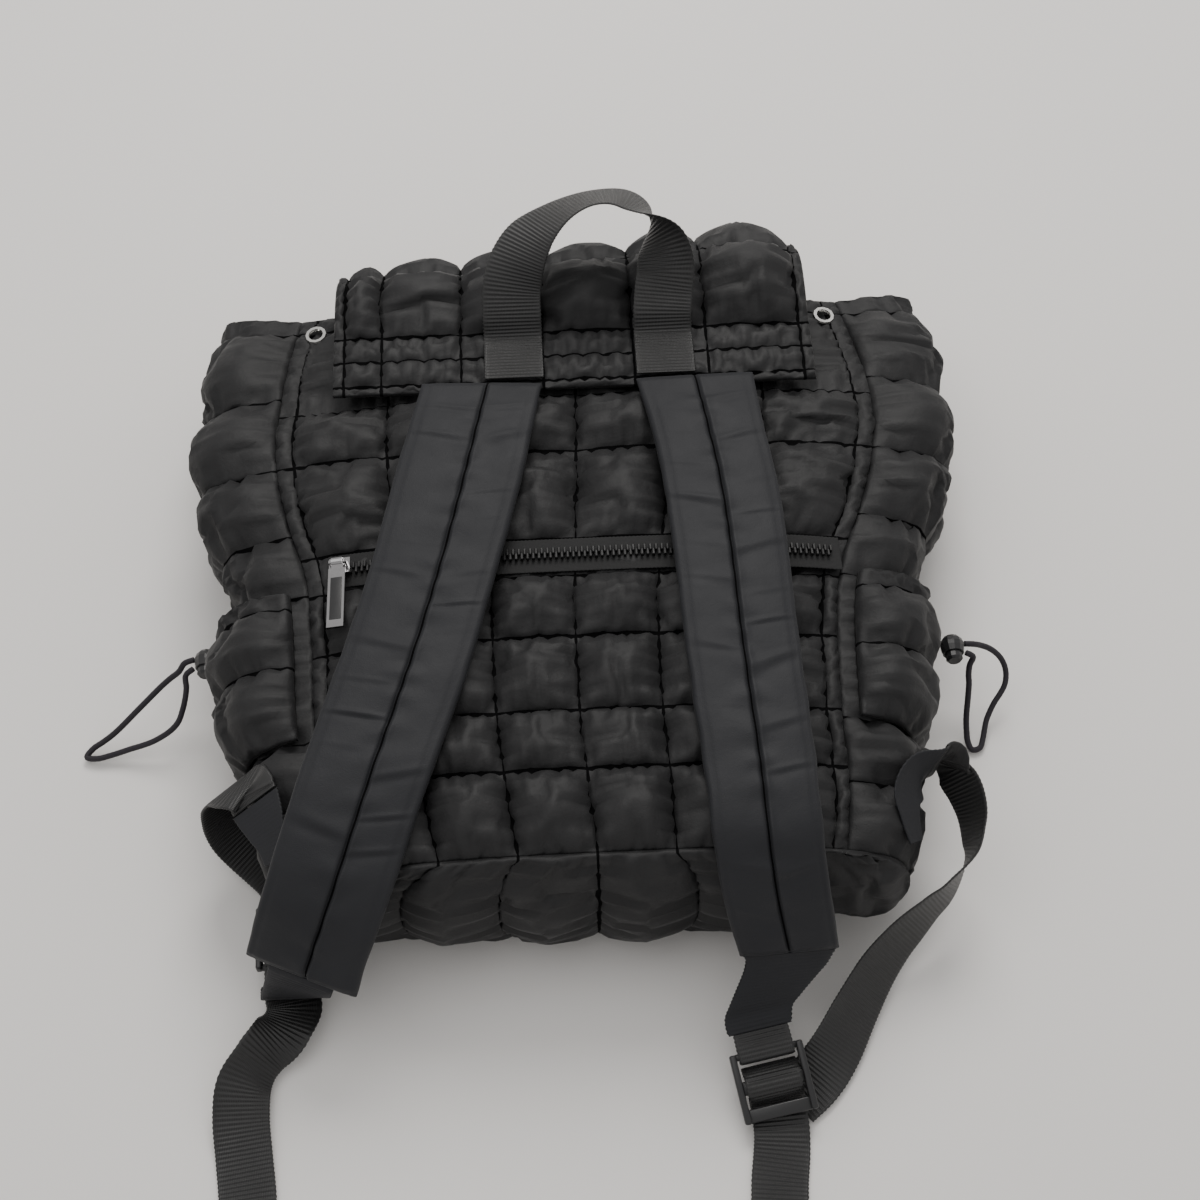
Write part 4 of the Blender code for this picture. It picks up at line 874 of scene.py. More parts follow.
# %% Side pockets
POCKET_DEPTH = 0.0085
POCKET_PUFF = 0.005
POCKET_WIDTH_SHARE = 0.93
POCKET_FULL_AT = 0.55
POCKET_SPACING = 0.0022
POCKET_ROWS = [Row(0.0, 1.0, 1.0), Row(0.47, 1.0, 1.0), Row(0.88, 0.3, 1.0)]


def on_pocket(side):
    """Place on a pocket, which stands off the side most in its middle."""

    def place(across, along, lift):
        y = POCKET_LOW_Y + along * (POCKET_TOP_Y - POCKET_LOW_Y)
        point, outward = body_point(side, across * POCKET_WIDTH_SHARE, y)
        rise = math.sin(math.pi / 2 * min(along / POCKET_FULL_AT, 1.0))
        room = math.sqrt(max(1 - across * across, 0.0)) * rise
        seat = PUFF * UNDER_POCKET + 2 * GAP
        return point + outward * (seat + POCKET_DEPTH * room + WALL + lift)

    return place


for number, side in enumerate(("left", "right")):
    quilt = Quilt(GUSSET_COLUMNS, POCKET_ROWS, SIDE_HALF_WIDE, POCKET_TOP_Y - POCKET_LOW_Y,
                  POCKET_PUFF * 1.1, 1.1, 1.2, 9 + number)
    closed_panel("pocket_cloth_" + side, quilt, POCKET_SPACING, on_pocket(side), "pocket_" + side,
                 pressure=PRESSURE * INSIDE[side])

# %% [markdown]
# A shoulder strap is a flat padded tube that lies on the puffs of the back and bends down over the
# base. A table gives its middle and its width at a few places. Its height is worked out from the
# back under it, so that it rests on the puffs, also where their size is changed.

# %% Shoulder straps
STRAP_WIDTH = 0.060
STRAP_THICK = 0.009
STRAP_TOP_Y = 0.0810
STRAP_END_Y = -0.2065
STRAP_END_Z = 0.050
TIP_THICK = 0.0026
Run = namedtuple("Run", "along middle width")
STRAP_RUNS = {
    "left": [Run(0.0, -0.244, 1.0), Run(0.20, -0.303, 1.02), Run(0.38, -0.363, 0.98),
             Run(0.54, -0.425, 0.98), Run(0.66, -0.479, 0.96), Run(0.79, -0.541, 0.92),
             Run(0.92, -0.616, 0.88), Run(0.97, -0.662, 0.88), Run(1.0, -0.688, 0.88)],
    "right": [Run(0.0, 0.311, 0.98), Run(0.13, 0.330, 0.91), Run(0.25, 0.346, 0.91),
              Run(0.40, 0.353, 0.88), Run(0.52, 0.354, 0.86), Run(0.66, 0.359, 0.83),
              Run(0.77, 0.365, 0.80), Run(0.87, 0.368, 0.78), Run(0.94, 0.384, 0.76),
              Run(1.0, 0.416, 0.73)],
}
STRAP_END_TURN = {"left": -24.0, "right": 0.0}


def strap_path(side):
    """Middle line of a strap: on the puffs of the back, then falling over the base edge."""
    points = []
    edge_y = BASE_Y + 0.010
    for run in STRAP_RUNS[side]:
        y = STRAP_TOP_Y + run.along * (STRAP_END_Y - STRAP_TOP_Y)
        x = run.middle * HALF_WIDTH
        near = abs(x) - run.width * STRAP_WIDTH * 0.5
        seat_y = max(y, edge_y)
        seat = back_height(max(near, 0.0), seat_y) + 5 * GAP + STRAP_THICK / 2
        fall = min(max((edge_y - y) / (edge_y - STRAP_END_Y), 0.0), 1.0)
        seat -= (seat - STRAP_END_Z) * fall ** 1.7
        points.append(Vector((x, y, seat)))
    return points


print("strap paths", {side: round(chord_lengths(strap_path(side))[-1], 3) for side in STRAP_RUNS})

# %% [markdown]
# What makes a strap look sewn is its section: a deep groove at the seam with a small roll beside
# it, a shallow line at each hem, ripples along the stitching, and soft folds across each half.

# %% A strap's section
STRAP_SEAM = {"left": 0.10, "right": 0.0}
GROOVE_REACH = 0.034
ROLL_OFF = 0.075
HEM_LINE = 0.86
HEM_REACH = 0.035
RIPPLE_PITCH = 0.0155
FOLD_PITCH = 0.0225


def cross_fold(across, y, seam, number):
    """Height of the soft folds that run from the seam to an edge, some deep and some missing."""
    half = 1.0 if across > seam else -1.0
    wander = noise.noise(Vector((half * 3.0 + number * 5.0, y * 21.0, 7.0)))
    turn = (y + across * 0.006 * half) / FOLD_PITCH + 1.1 * wander + 0.4 * half
    depth = 0.22 + 1.5 * noise.noise(Vector((half * 5.3, math.floor(turn) * 1.73, number * 3.1)))
    off = (turn - math.floor(turn) - 0.5) * FOLD_PITCH
    ridge = bell(off, 0.0017) - 0.7 * bell(off - 0.0028, 0.0022)
    ridge *= max(depth, 0.0)
    return ridge * ((1.0 - across ** 4) * (0.25 + 0.75 * min(1.0, abs(across - seam) / 0.35)))


def strap_height(across, y, seam, number):
    """Top and bottom of a strap's section, in shares of half its thickness."""
    edge = max(1.0 - abs(across) ** 6, 0.0) ** 0.35
    groove = bell(across - seam, GROOVE_REACH)
    groove -= 0.20 * bell(across - seam - ROLL_OFF, HEM_REACH)
    hem = bell(abs(across) - HEM_LINE, HEM_REACH)
    fold = noise.noise(Vector((across * 1.1 + number * 9, y * 62.0, number))) * 0.5
    stray = noise.noise(Vector((across * 2.0, y * 40.0, 4.0 + number)))
    ripple = math.sin(y * 2 * math.pi / RIPPLE_PITCH + 2.6 * stray)
    near = bell(across - seam, 0.30)
    ridge = cross_fold(across, y, seam, number)
    top = edge * (0.90 - 0.50 * groove - 0.14 * hem + 0.20 * fold + 0.12 * ripple * near + 0.24 * ridge)
    return top, -edge * (0.85 - 0.3 * groove)


print("top of a strap at its seam", round(strap_height(0.0, 0.1, 0.0, 2)[0], 2), "of half its thickness")

# %% [markdown]
# The section is swept along the path with many steps, because its folds are only a few
# millimetres wide. Its points crowd beside the seam, where the faces take the painted seam shade.

# %% Sweeping the straps
STITCH_HALF = 0.016
BESIDE_SEAM = (-0.10, -0.06, -0.035, -STITCH_HALF, STITCH_HALF, 0.035, 0.06, 0.085, 0.11)
STRAP_STEPS = 400


def shoulder_strap(side, number):
    """One padded strap; gives the place, width direction and heading of its lower end."""
    runs = STRAP_RUNS[side]
    path = resample(resample(strap_path(side), 22), STRAP_STEPS)
    marks = chord_lengths(path)
    directions = tangents(path)
    seam = STRAP_SEAM[side]
    even = [math.sin(math.pi / 2 * (2 * k / 30 - 1)) for k in range(31)]
    shares = sorted([share for share in even if abs(share - seam) > 0.12]
                    + [seam + step for step in BESIDE_SEAM])
    ends = {}

    def ring(i):
        along = i / (len(path) - 1)
        tangent = directions[i]
        width = table_value(runs, along, "width") * STRAP_WIDTH
        thick = STRAP_THICK * min(1.0, 0.55 + 5 * along)
        pinch = min(1.0, 0.45 + min(marks[i], marks[-1] - marks[i]) / 0.006)
        turn = math.radians(STRAP_END_TURN[side]) * max(0.0, (along - 0.75) / 0.25)
        flat = Vector((math.cos(turn), math.sin(turn), 0.0))
        across = (flat - tangent * flat.dot(tangent) * 0.25).normalized()
        lift = tangent.cross(across).normalized()
        ends["last"] = (path[i], across, across.cross(lift))
        top, low = [], []
        scallop = 0.0004 * noise.noise(Vector((marks[i] * 70.0, number, 1.0)))
        for share in shares:
            high, under = strap_height(share, marks[i], seam, number)
            out = across * share * (width / 2 + scallop * abs(share) ** 3)
            top.append(path[i] + out + lift * high * thick / 2 * pinch)
            low.append(path[i] + out + lift * under * thick / 2 * pinch)
        return top + low[-2:0:-1]

    bm = bmesh.new()
    rings = swept(bm, path, ring)
    stitched = shares.index(seam - STITCH_HALF)
    # The faces along the seam's groove take the second finish, a painted shade.
    for i in range(1, len(rings) - 2):
        seam_shade_faces = set(rings[i][stitched].link_faces) & set(rings[i][stitched + 1].link_faces)
        for face in seam_shade_faces:
            face.material_index = 1
    strap = new_object("padded_strap_" + side, bm)
    dressed(strap, "bag", "shoulder_strap_" + side, "strap_nylon", STRAP, SEAM_SHADE)
    place, across, face = ends["last"]
    return place, across, face if face.dot(directions[-1]) > 0 else -face


strap_ends = {side: shoulder_strap(side, number + 1) for number, side in enumerate(("left", "right"))}
print("straps", strap_ends["left"][0], strap_ends["right"][0])

# %% [markdown]
# Webbing is a flat ribbon with a rib every 1.9 mm across it. The ribs are in the mesh, so they
# catch the light along each bend, which bump alone would not do at the edges. A ribbon is carried
# along its route as a section whose thickness swells on a rib and sinks between two, with a plain
# selvedge at both edges. Its UV map has real metres along and across it, for the threads of the
# material.

# %% Webbing
WEB_WIDTH = 0.025
WEB_THICK = 0.0015
RIB_PITCH = 0.0019
STEPS_PER_RIB = 6


def ribbon(name, points, across, widths, thickness, material, node, slot, rib=0.30, skew=False):
    """A flat ribbed ribbon along points, its width along the across vectors."""
    marks = chord_lengths(points)
    count = max(8, round(marks[-1] / (RIB_PITCH / STEPS_PER_RIB)))
    fine, sides = resample(points, count, across)
    wide = [hermite(marks, widths, marks[-1] * i / (count - 1)) for i in range(count)]
    fine_marks = chord_lengths(fine)
    headings = tangents(fine)
    shares = [-1.0, -0.93, -0.78, -0.3, 0.3, 0.78, 0.93, 1.0]

    def ring(i):
        direction = sides[i] if skew else sides[i] - headings[i] * sides[i].dot(headings[i])
        side = direction.normalized() * wide[i] / 2
        lift = headings[i].cross(side).normalized() * thickness / 2
        wave = rib * math.sin(2 * math.pi * fine_marks[i] / RIB_PITCH)
        top, low = [], []
        for share in shares:
            body = 0.45 if abs(share) > 0.99 else 0.70 + (wave if abs(share) < 0.9 else wave * 0.4)
            edge = 1.0 - 0.012 * (1 + math.sin(2 * math.pi * fine_marks[i] / RIB_PITCH)) * (abs(share) > 0.99)
            top.append(fine[i] + side * share * edge + lift * body)
            low.append(fine[i] + side * share * edge - lift * body)
        return top + low[::-1]

    bm = bmesh.new()
    rings = swept(bm, fine, ring)
    layer = bm.loops.layers.uv.new("along")
    places = {}
    for i, verts in enumerate(rings):
        for k, vertex in enumerate(verts):
            share = shares[k] if k < len(shares) else shares[2 * len(shares) - 1 - k]
            places[vertex] = (share * wide[i] / 2, fine_marks[i])
    for face in bm.faces:
        for loop in face.loops:
            loop[layer].uv = places[loop.vert]
    dressed(new_object(name, bm), "bag", node, slot, material)


print("webbing", WEB_WIDTH, "m wide, a rib every", RIB_PITCH, "m")

# %% [markdown]
# Each route is a list of places chosen from the photograph, with the direction across the
# webbing at each. The steps between them are short where the webbing twists or turns over.

# %% Routes of the webbing and the handle
Way = namedtuple("Way", "point across")
Tab = namedtuple("Tab", "y up stand across width")
SIDE_TABS = {
    "left": [Tab(-0.163, 0.60, 0.0, (-0.80, -0.10, -0.60), 0.010),
             Tab(-0.154, 0.64, 0.0, (-0.82, -0.15, -0.55), 0.016),
             Tab(-0.1445, 0.64, 0.0006, (-0.83, -0.20, -0.52), 0.022),
             Tab(-0.1350, 0.62, 0.0018, (-0.84, -0.26, -0.48), 0.026)],
    "right": [Tab(-0.166, 0.55, 0.0, (0.70, 0.10, -0.70), 0.010),
              Tab(-0.156, 0.66, 0.0004, (0.76, 0.12, -0.62), 0.013),
              Tab(-0.147, 0.70, 0.0010, (0.78, 0.15, -0.58), 0.018),
              Tab(-0.138, 0.64, 0.0030, (0.66, 0.25, -0.70), 0.023),
              Tab(-0.1300, 0.50, 0.0065, (0.25, 0.32, -0.90), 0.026)],
}
WEB_RIGHT = [
    Way((0.1618, -0.1250, 0.0605), (-0.15, 0.28, -0.92)),
    Way((0.1645, -0.1290, 0.0580), (-0.40, 0.10, -0.91)),
    Way((0.1680, -0.1355, 0.0550), (-0.40, 0.09, -0.91)),
    Way((0.1700, -0.1430, 0.0520), (-0.34, 0.13, -0.93)),
    Way((0.1702, -0.1503, 0.0490), (-0.26, 0.16, -0.95)),
    Way((0.1688, -0.1592, 0.0460), (-0.13, 0.25, -0.96)),
    Way((0.1658, -0.1655, 0.0425), (0.08, 0.30, -0.94)),
    Way((0.1600, -0.1725, 0.0380), (0.20, 0.15, -0.97)),
    Way((0.1552, -0.1771, 0.0345), (0.22, 0.04, -0.97)),
    Way((0.1487, -0.1815, 0.0310), (0.29, -0.02, -0.96)),
    Way((0.1399, -0.1880, 0.0260), (0.41, -0.13, -0.90)),
    Way((0.1321, -0.1945, 0.0215), (0.51, -0.18, -0.84)),
    Way((0.1232, -0.2040, 0.0170), (0.60, -0.26, -0.75)),
    Way((0.1120, -0.2200, 0.0125), (0.70, -0.32, -0.60)),
    Way((0.1010, -0.2370, 0.0085), (0.78, -0.42, -0.40)),
    Way((0.0905, -0.2490, 0.0046), (0.78, -0.58, -0.12)),
    Way((0.0800, -0.2575, 0.0028), (0.75, -0.66, 0.00)),
]
TAIL_RIGHT = [
    Way((0.0735, -0.2700, 0.0040), (0.96, 0.26, 0.00)),
    Way((0.0728, -0.2790, 0.0018), (0.98, 0.15, 0.00)),
    Way((0.0705, -0.2930, 0.0012), (1.00, 0.02, 0.00)),
    Way((0.0680, -0.3200, 0.0012), (1.00, -0.05, 0.00)),
]
WEB_LEFT = [
    Way((-0.1632, -0.1235, 0.0675), (-0.85, -0.38, -0.38)),
    Way((-0.1675, -0.1200, 0.0600), (-0.80, -0.55, -0.20)),
    Way((-0.1715, -0.1178, 0.0500), (-0.76, -0.64, -0.10)),
    Way((-0.1730, -0.1180, 0.0400), (-0.75, -0.66, 0.00)),
    Way((-0.1730, -0.1195, 0.0300), (-0.76, -0.64, 0.00)),
    Way((-0.1705, -0.1225, 0.0205), (-0.80, -0.60, 0.00)),
    Way((-0.1650, -0.1265, 0.0130), (-0.86, -0.50, 0.00)),
    Way((-0.1575, -0.1325, 0.0085), (-0.93, -0.36, 0.00)),
    Way((-0.1500, -0.1400, 0.0066), (-0.98, -0.20, 0.00)),
    Way((-0.1445, -0.1500, 0.0062), (-1.00, -0.05, 0.00)),
]
TAIL_LEFT = [
    Way((-0.1432, -0.1940, 0.0050), (-1.00, -0.05, 0.00)),
    Way((-0.1410, -0.2060, 0.0080), (-0.97, -0.12, 0.12)),
    Way((-0.1450, -0.2170, 0.0125), (-0.88, -0.30, 0.25)),
    Way((-0.1540, -0.2285, 0.0140), (-0.80, -0.30, 0.42)),
    Way((-0.1610, -0.2400, 0.0110), (-0.90, -0.15, 0.30)),
    Way((-0.1625, -0.2530, 0.0060), (-0.98, 0.00, 0.12)),
    Way((-0.1610, -0.2680, 0.0024), (-1.00, 0.05, 0.00)),
    Way((-0.1585, -0.2870, 0.0012), (-1.00, 0.08, 0.00)),
    Way((-0.1560, -0.3200, 0.0012), (-1.00, 0.08, 0.00)),
]
HANDLE_WIDTH = 0.030
HANDLE = [
    Way((-0.0305, 0.1180, 0.1080), (1.00, 0.05, 0.05)),
    Way((-0.0300, 0.1280, 0.1180), (1.00, 0.05, 0.10)),
    Way((-0.0260, 0.1380, 0.1290), (0.92, -0.25, 0.20)),
    Way((-0.0180, 0.1480, 0.1370), (0.80, -0.50, 0.30)),
    Way((-0.0040, 0.1580, 0.1420), (0.45, -0.75, 0.45)),
    Way((0.0120, 0.1640, 0.1440), (0.10, -0.85, 0.50)),
    Way((0.0280, 0.1640, 0.1430), (-0.20, -0.85, 0.45)),
    Way((0.0400, 0.1570, 0.1390), (0.10, -0.90, 0.40)),
    Way((0.0470, 0.1460, 0.1310), (0.70, -0.60, 0.30)),
    Way((0.0485, 0.1350, 0.1220), (0.97, -0.20, 0.10)),
    Way((0.0470, 0.1260, 0.1140), (1.00, 0.00, 0.05)),
    Way((0.0460, 0.1180, 0.1080), (1.00, 0.00, 0.00)),
]


def route_of(ways):
    return [Vector(way.point) for way in ways], [Vector(way.across) for way in ways]


print("places on the routes", [len(ways) for ways in (WEB_RIGHT, TAIL_RIGHT, WEB_LEFT, TAIL_LEFT, HANDLE)])

# %% [markdown]
# The webbing runs through the strap adjusters: plastic ladder frames with an end bar for the
# sewn loop and a middle bar that the free webbing wraps. A frame could be one plate with slots cut
# by booleans, but five rounded blocks give softer edges and never fail. The same matrices as in the
# part place the loops and wraps here.

# %% Strap adjusters
LOCK_LENGTH = 0.030
LOCK_WIDTH = 0.033
LOCK_THICK = 0.003
LOCK_SLOT = 0.027
END_BAR = 0.003
MIDDLE_BAR = 0.006
LIP_BAR = 0.006
RAIL_LIFT = 0.0008
RAIL_THICK = LOCK_THICK * 1.75


def lock_frame(center, heading, across):
    """Matrix of a strap adjuster: x along its bars, y from the lip to the end bar, z up."""
    y_axis = heading.normalized()
    x_axis = (across - y_axis * across.dot(y_axis)).normalized()
    matrix = Matrix((x_axis, y_axis, x_axis.cross(y_axis))).transposed().to_4x4()
    matrix.translation = center
    return matrix


LOCKS = {
    "right": lock_frame(Vector((0.0710, -0.2520, 0.0135)), Vector((-0.18, 0.93, 0.33)),
                        Vector((0.97, 0.16, 0.08))),
    "left": lock_frame(Vector((-0.1430, -0.1715, 0.0105)), Vector((0.05, -1.0, 0.0)),
                       Vector((-1.0, -0.05, 0.0))),
}


def in_lock(matrix, rows):
    """Places and bar directions in space for rows of a place along a frame and a height."""
    bar = matrix.to_3x3() @ Vector((1, 0, 0))
    return [matrix @ Vector((0, along, height)) for along, height in rows], [bar.copy() for _ in rows]


def bar_wrap(reach):
    """Webbing up through one slot, over the middle bar and down the other."""
    over = LOCK_THICK / 2 + WEB_THICK + GAP
    beside = MIDDLE_BAR / 2 + WEB_THICK + GAP
    under = -(LOCK_THICK / 2 + WEB_THICK * 1.5 + 2 * GAP)
    route = [(beside + 0.0035, under * 0.85), (beside + 0.0012, -0.0008), (beside - 0.0006, over * 0.62),
             (MIDDLE_BAR * 0.25, over + 0.0002), (-MIDDLE_BAR * 0.25, over + 0.0002),
             (-beside + 0.0006, over * 0.62), (-beside - 0.0012, -0.0008), (-beside - 0.0045, under)]
    return [(along * reach, height) for along, height in route]


def rounded_edges(bm, edges, offset, segments):
    bmesh.ops.bevel(bm, geom=edges, offset=offset, segments=segments, profile=0.5, affect="EDGES",
                    material=-1)


def adjuster(side):
    """The ladder frame: a slotted plate with raised side rails and a rolled lip."""
    bm = bmesh.new()
    half = LOCK_LENGTH / 2
    rail = (LOCK_WIDTH - LOCK_SLOT) / 2
    bars = [
        ((LOCK_WIDTH / 2 - rail / 2, 0, RAIL_LIFT), (rail, LOCK_LENGTH, RAIL_THICK)),
        ((-LOCK_WIDTH / 2 + rail / 2, 0, RAIL_LIFT), (rail, LOCK_LENGTH, RAIL_THICK)),
        ((0, half - END_BAR / 2, 0), (LOCK_SLOT + 0.002, END_BAR, LOCK_THICK * 0.96)),
        ((0, 0, 0), (LOCK_SLOT + 0.002, MIDDLE_BAR, LOCK_THICK * 0.9)),
        ((0, -half + LIP_BAR / 2, 0), (LOCK_SLOT + 0.002, LIP_BAR, LOCK_THICK * 0.94)),
    ]
    for center, size in bars:
        made = bmesh.ops.create_cube(bm, size=1.0)
        bmesh.ops.scale(bm, vec=size, verts=made["verts"])
        bmesh.ops.translate(bm, vec=center, verts=made["verts"])
        edges = {edge for vertex in made["verts"] for edge in vertex.link_edges}
        rounded_edges(bm, list(edges), min(size[1], LOCK_THICK) * 0.32, 3)
    bmesh.ops.transform(bm, matrix=LOCKS[side], verts=bm.verts)
    dressed(new_object("strap_adjuster_" + side, bm), "bag", "ladder_lock_" + side, "black_plastic", PLASTIC)


print("adjusters at", [tuple(round(value, 3) for value in lock.translation) for lock in LOCKS.values()])

# %% [markdown]
# A short loop of webbing holds each adjuster by its end bar. Its two ends are sewn into a flat
# tip of strap cloth, which narrows from the padded strap to the loop.

# %% Loops and tips
def buckle_loop(side):
    """Short webbing from the strap's tip, round the end bar and back."""
    center = LOCK_LENGTH / 2 - END_BAR / 2
    reach = END_BAR / 2 + GAP + WEB_THICK / 2 + 0.0002
    rise = LOCK_THICK / 2 + GAP + WEB_THICK / 2 + 0.0001
    far = center + 0.0095
    route = [(far, rise * 0.55), (center + 0.004, rise), (center, rise + 0.0001),
             (center - reach * 0.86, rise * 0.86), (center - reach - 0.0002, 0.0),
             (center - reach * 0.86, -rise * 0.86), (center, -rise - 0.0001), (center + 0.004, -rise),
             (far, -rise * 0.55)]
    points, across = in_lock(LOCKS[side], route)
    ribbon("sewn_loop_" + side, points, across, [WEB_WIDTH] * len(points), WEB_THICK, WEBBING,
           "buckle_loop_" + side, "webbing")
    return far


TIP_SHARE = {"left": 0.60, "right": 0.94}


def strap_tip(side, loop_end):
    """The flat sewn end between the padded strap and the buckle's loop."""
    start, first_across, leaving = strap_ends[side]
    begin = start + leaving * 2 * GAP
    finish = loop_end + GAP * 0.3
    matrix = LOCKS[side]
    bar = matrix.to_3x3() @ Vector((1, 0, 0))
    last_across = bar if bar.dot(first_across) > 0 else -bar
    route = [begin + leaving * 0.002, begin + leaving * 0.004, matrix @ Vector((0, finish + 0.006, 0)),
             matrix @ Vector((0, finish + 0.002, 0))]
    points, across = resample(route, 7, [first_across, first_across, last_across, last_across])
    points = [begin] + points + [matrix @ Vector((0, finish, 0))]
    across = [first_across] + across + [last_across]
    first_width = STRAP_WIDTH * table_value(STRAP_RUNS[side], 1.0, "width") * TIP_SHARE[side]
    last = len(points) - 1
    widths = [first_width + (WEB_WIDTH * 1.15 - first_width) * (i / last) ** 0.8 for i in range(last + 1)]
    ribbon("sewn_tip_" + side, points, across, widths, TIP_THICK, STRAP, "strap_tip_" + side, "strap_nylon",
           rib=0.04, skew=True)
    print("tip", side, round(first_width, 3), "m wide at the strap")


for side in ("left", "right"):
    adjuster(side)
    strap_tip(side, buckle_loop(side))

# %% [markdown]
# The side tabs are triangles of strap cloth sewn into the lower corners. The webbing leaves them
# for the adjusters, and its free tails run out on the surface. The grab handle is a wider ribbon
# of the same webbing, sewn to the flap's band at both feet. One helper makes them all, because a
# tab is only a ribbon that widens.

# %% Side tabs, webbing and grab handle
HANDLE_FOOT_START = 0.012
HANDLE_FOOT_LENGTH = 0.085


def side_tab(side):
    """One tab; gives the first places of the webbing that leaves it, and their directions."""
    points, across = [], []
    for step in SIDE_TABS[side]:
        point, outward = body_point(side, step.up, step.y)
        points.append(point + outward * (PUFF + 4 * GAP + WEB_THICK / 2 + step.stand))
        across.append(Vector(step.across))
    widths = [step.width for step in SIDE_TABS[side]]
    ribbon("corner_tab_" + side, points, across, widths, WEB_THICK, STRAP, "side_tab_" + side, "strap_nylon",
           rib=0.03)
    heading = (points[-1] - points[-2]).normalized()
    return [points[-1] + heading * distance for distance in (0.0012, 0.0035, 0.0080)], [across[-1]] * 3


start, start_across = side_tab("right")
route, route_across = route_of(WEB_RIGHT)
ribbon("strap_webbing_right", start + route, start_across + route_across, [WEB_WIDTH] * (len(route) + 3),
       WEB_THICK, WEBBING, "webbing_right", "webbing")
wrap, bars = in_lock(LOCKS["right"], bar_wrap(1))
tail, tail_across = route_of(TAIL_RIGHT)
ribbon("webbing_end_right", wrap + tail, bars + tail_across, [WEB_WIDTH] * (len(wrap) + len(tail)),
       WEB_THICK, WEBBING, "webbing_tail_right", "webbing")

start, start_across = side_tab("left")
route, route_across = route_of(WEB_LEFT)
wrap, bars = in_lock(LOCKS["left"], bar_wrap(-1))
tail, tail_across = route_of(TAIL_LEFT)
points = start + route + wrap + tail
across = start_across + route_across + bars + tail_across
ribbon("strap_webbing_left", points, across, [WEB_WIDTH] * len(points), WEB_THICK, WEBBING, "webbing_left",
       "webbing")
print("left webbing", round(chord_lengths(points)[-1], 3), "m with its tail")


def handle_foot(x):
    """Four places up the flap's gathered band, where a foot of the handle is sewn on."""
    lift = 8 * GAP + WEB_THICK / 2
    return [on_flap(x / FLAP_HALF_WIDTH, HANDLE_FOOT_START + HANDLE_FOOT_LENGTH * step / 3, lift)
            for step in range(4)]


left_foot, right_foot = handle_foot(HANDLE[0].point[0]), handle_foot(HANDLE[-1].point[0])
route, route_across = route_of(HANDLE)
flat = Vector((1, 0, 0))
points = left_foot + route + right_foot[::-1]
across = [flat] * 4 + route_across + [flat] * 4
ribbon("carry_handle", points, across, [HANDLE_WIDTH] * len(points), WEB_THICK, WEBBING, "grab_handle",
       "webbing")
print("handle", round(chord_lengths(points)[-1], 3), "m with its feet")

# %% [markdown]
# The zip is a strip of tape with two rows of moulded teeth that mesh in the middle. Each tooth is
# a small bevelled block, and the two rows stand half a pitch apart. An Array modifier could repeat
# the tooth, but the back is curved, so a loop places each one at its own height.

# %% Zip
ZIP_HALF_LENGTH = 0.122
ZIP_TAPE_THICK = 0.0008
TEETH_WIDTH = 0.0062
TEETH_THICK = 0.0022
TOOTH_PITCH = 0.0027
ZIP_END = 0.003


def zip_height(x):
    """Height of the back panel's flat zip row, at its highest under the width of the tape."""
    edges = (ZIP_Y - ZIP_TAPE_WIDTH / 2, ZIP_Y, ZIP_Y + ZIP_TAPE_WIDTH / 2)
    return max(back_height(x, y) - PUFF for y in edges) + GAP


def zip_tape():
    points = []
    for i in range(17):
        x = ZIP_HALF_LENGTH * (i / 8 - 1)
        points.append(Vector((x, ZIP_Y, zip_height(x) + GAP + ZIP_TAPE_THICK / 2)))
    ribbon("zip_ribbon", points, [Vector((0, 1, 0))] * 17, [ZIP_TAPE_WIDTH] * 17, ZIP_TAPE_THICK, ZIP_TAPE,
           "zip_tape", "zip_tape", rib=0.05)


def one_tooth():
    """A bevelled block with a narrower head towards the middle of the zip."""
    bm = bmesh.new()
    bmesh.ops.create_cube(bm, size=1.0)
    bmesh.ops.scale(bm, vec=(TOOTH_PITCH * 0.52, TEETH_WIDTH * 0.56, TEETH_THICK * 0.92), verts=bm.verts)
    bmesh.ops.scale(bm, vec=(0.75, 1.0, 1.0), verts=[vertex for vertex in bm.verts if vertex.co.y > 0])
    rounded_edges(bm, bm.edges[:], 0.00025, 1)
    mesh = bpy.data.meshes.new("tooth")
    bm.to_mesh(mesh)
    bm.free()
    return mesh


def zip_teeth():
    tooth = one_tooth()
    bm = bmesh.new()
    count = int((ZIP_HALF_LENGTH - ZIP_END) * 2 / TOOTH_PITCH)
    base = 2 * GAP + ZIP_TAPE_THICK + TEETH_THICK / 2
    for i in range(count):
        for row, shift in ((-1, 0.0), (1, TOOTH_PITCH / 2)):
            x = -ZIP_HALF_LENGTH + ZIP_END + i * TOOTH_PITCH + shift
            bm.from_mesh(tooth)
            verts = bm.verts[-len(tooth.vertices):]
            if row > 0:
                bmesh.ops.rotate(bm, cent=(0, 0, 0), matrix=Matrix.Rotation(math.pi, 3, "Z"), verts=verts)
            spot = Vector((x, ZIP_Y + row * TEETH_WIDTH * 0.21, zip_height(x) + base))
            bmesh.ops.translate(bm, vec=spot, verts=verts)
    item = new_object("moulded_teeth", bm)
    item.data.shade_flat()
    dressed(item, "bag", "zip_teeth", "gunmetal", TEETH)
    print("teeth in each row", count)


zip_tape()
zip_teeth()

# %% [markdown]
# The slider, the puller, the cord locks with their buttons and the eyelets are hard, and the part's
# own solids are already right for them, so they only get a finish. The puller also gets its inlay,
# which rides on the puller and so swings with it.

# %% Puller, cord locks and eyelets
PULLER_HINGE = Vector((-0.1164, -0.0205, 0.0954))
PULLER_SLOPE = Vector((0.9872, 0.0, 0.1594))
INLAY_SIZE = (0.0056, 0.0235, 0.0006)
INLAY_PLACE = (0.0, -0.0212, 0.0007)


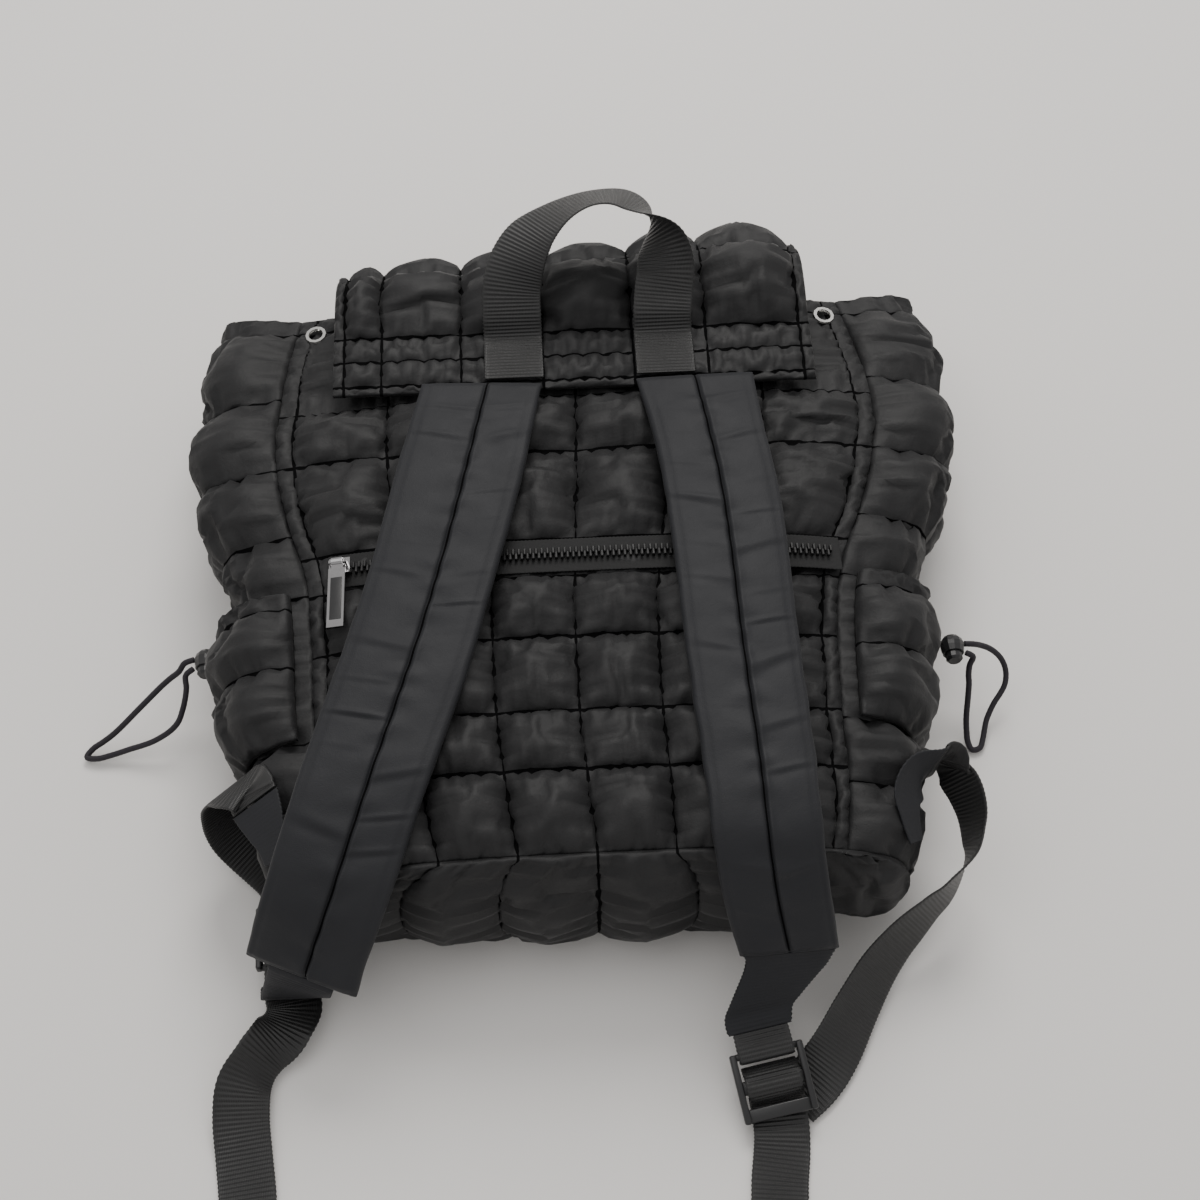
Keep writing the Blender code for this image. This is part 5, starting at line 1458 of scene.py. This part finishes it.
def recolored(node, material):
    """Gives one of the part's own solids another finish and leaves its mesh alone."""
    NODES[node].data.materials.clear()
    NODES[node].data.materials.append(material)


def puller_inlay():
    """The black inlay that leaves only a narrow metal rim round the puller."""
    up = PULLER_SLOPE.cross(Vector((0, 1, 0)))
    matrix = Matrix((PULLER_SLOPE, Vector((0, 1, 0)), up)).transposed().to_4x4()
    matrix.translation = PULLER_HINGE
    bm = bmesh.new()
    made = bmesh.ops.create_cube(bm, size=1.0)
    bmesh.ops.scale(bm, vec=INLAY_SIZE, verts=made["verts"])
    rounded_edges(bm, bm.edges[:], 0.0002, 3)
    bmesh.ops.translate(bm, vec=INLAY_PLACE, verts=bm.verts)
    bmesh.ops.transform(bm, matrix=matrix, verts=bm.verts)
    dressed(new_object("puller_inlay", bm), "puller", None, "black_plastic", PLASTIC)


puller_inlay()
recolored("zip_slider", GUNMETAL)
recolored("zip_puller", GUNMETAL)
for side in ("left", "right"):
    recolored("cord_lock_" + side, PLASTIC)
    recolored("lock_button_" + side, PLASTIC)
    recolored("eyelet_" + side, NICKEL)
print("pieces", len([item for item in bpy.data.objects if item.type == "MESH"]))

# %% [markdown]
# The setting is a plain pale floor, a big soft light behind the bag, a weaker one over it, and an
# even sky. Black cloth shows its form by the light that grazes it, so the strongest light comes
# from behind. The sky fills the shadows, which are soft in the photograph.

# %% Floor and light
FLOOR_HALF = 3.0
FLOOR_HEIGHT = -0.0004
SKY_STRENGTH = 0.66

bm = bmesh.new()
bmesh.ops.create_grid(bm, x_segments=1, y_segments=1, size=FLOOR_HALF)
floor = new_object("studio_floor", bm)
floor_material, floor_tree, floor_shader = shader_material("floor_paper", (0.82, 0.80, 0.78), 0.75)
floor.data.materials.append(floor_material)
floor.location = (0, 0, FLOOR_HEIGHT)

world = bpy.data.worlds.new("world")
bpy.context.scene.world = world
world.use_nodes = True
world.node_tree.nodes["Background"].inputs["Color"].default_value = (1.0, 0.988, 0.976, 1.0)
world.node_tree.nodes["Background"].inputs["Strength"].default_value = SKY_STRENGTH


def area_light(name, place, size, power, color):
    """A round light that looks at the middle of the bag."""
    data = bpy.data.lights.new(name, "AREA")
    data.shape = "DISK"
    data.size = size
    data.energy = power
    data.color = color
    item = bpy.data.objects.new(name, data)
    bpy.context.scene.collection.objects.link(item)
    item.location = place
    item.rotation_euler = (-Vector(place)).to_track_quat("-Z", "Y").to_euler()


area_light("window", (0.15, 1.1, 1.5), 1.0, 20.0, (1.0, 0.98, 0.95))
area_light("ceiling", (-0.5, -0.1, 1.9), 1.6, 7.0, (1.0, 0.99, 0.975))
print("lights", len(bpy.data.lights))
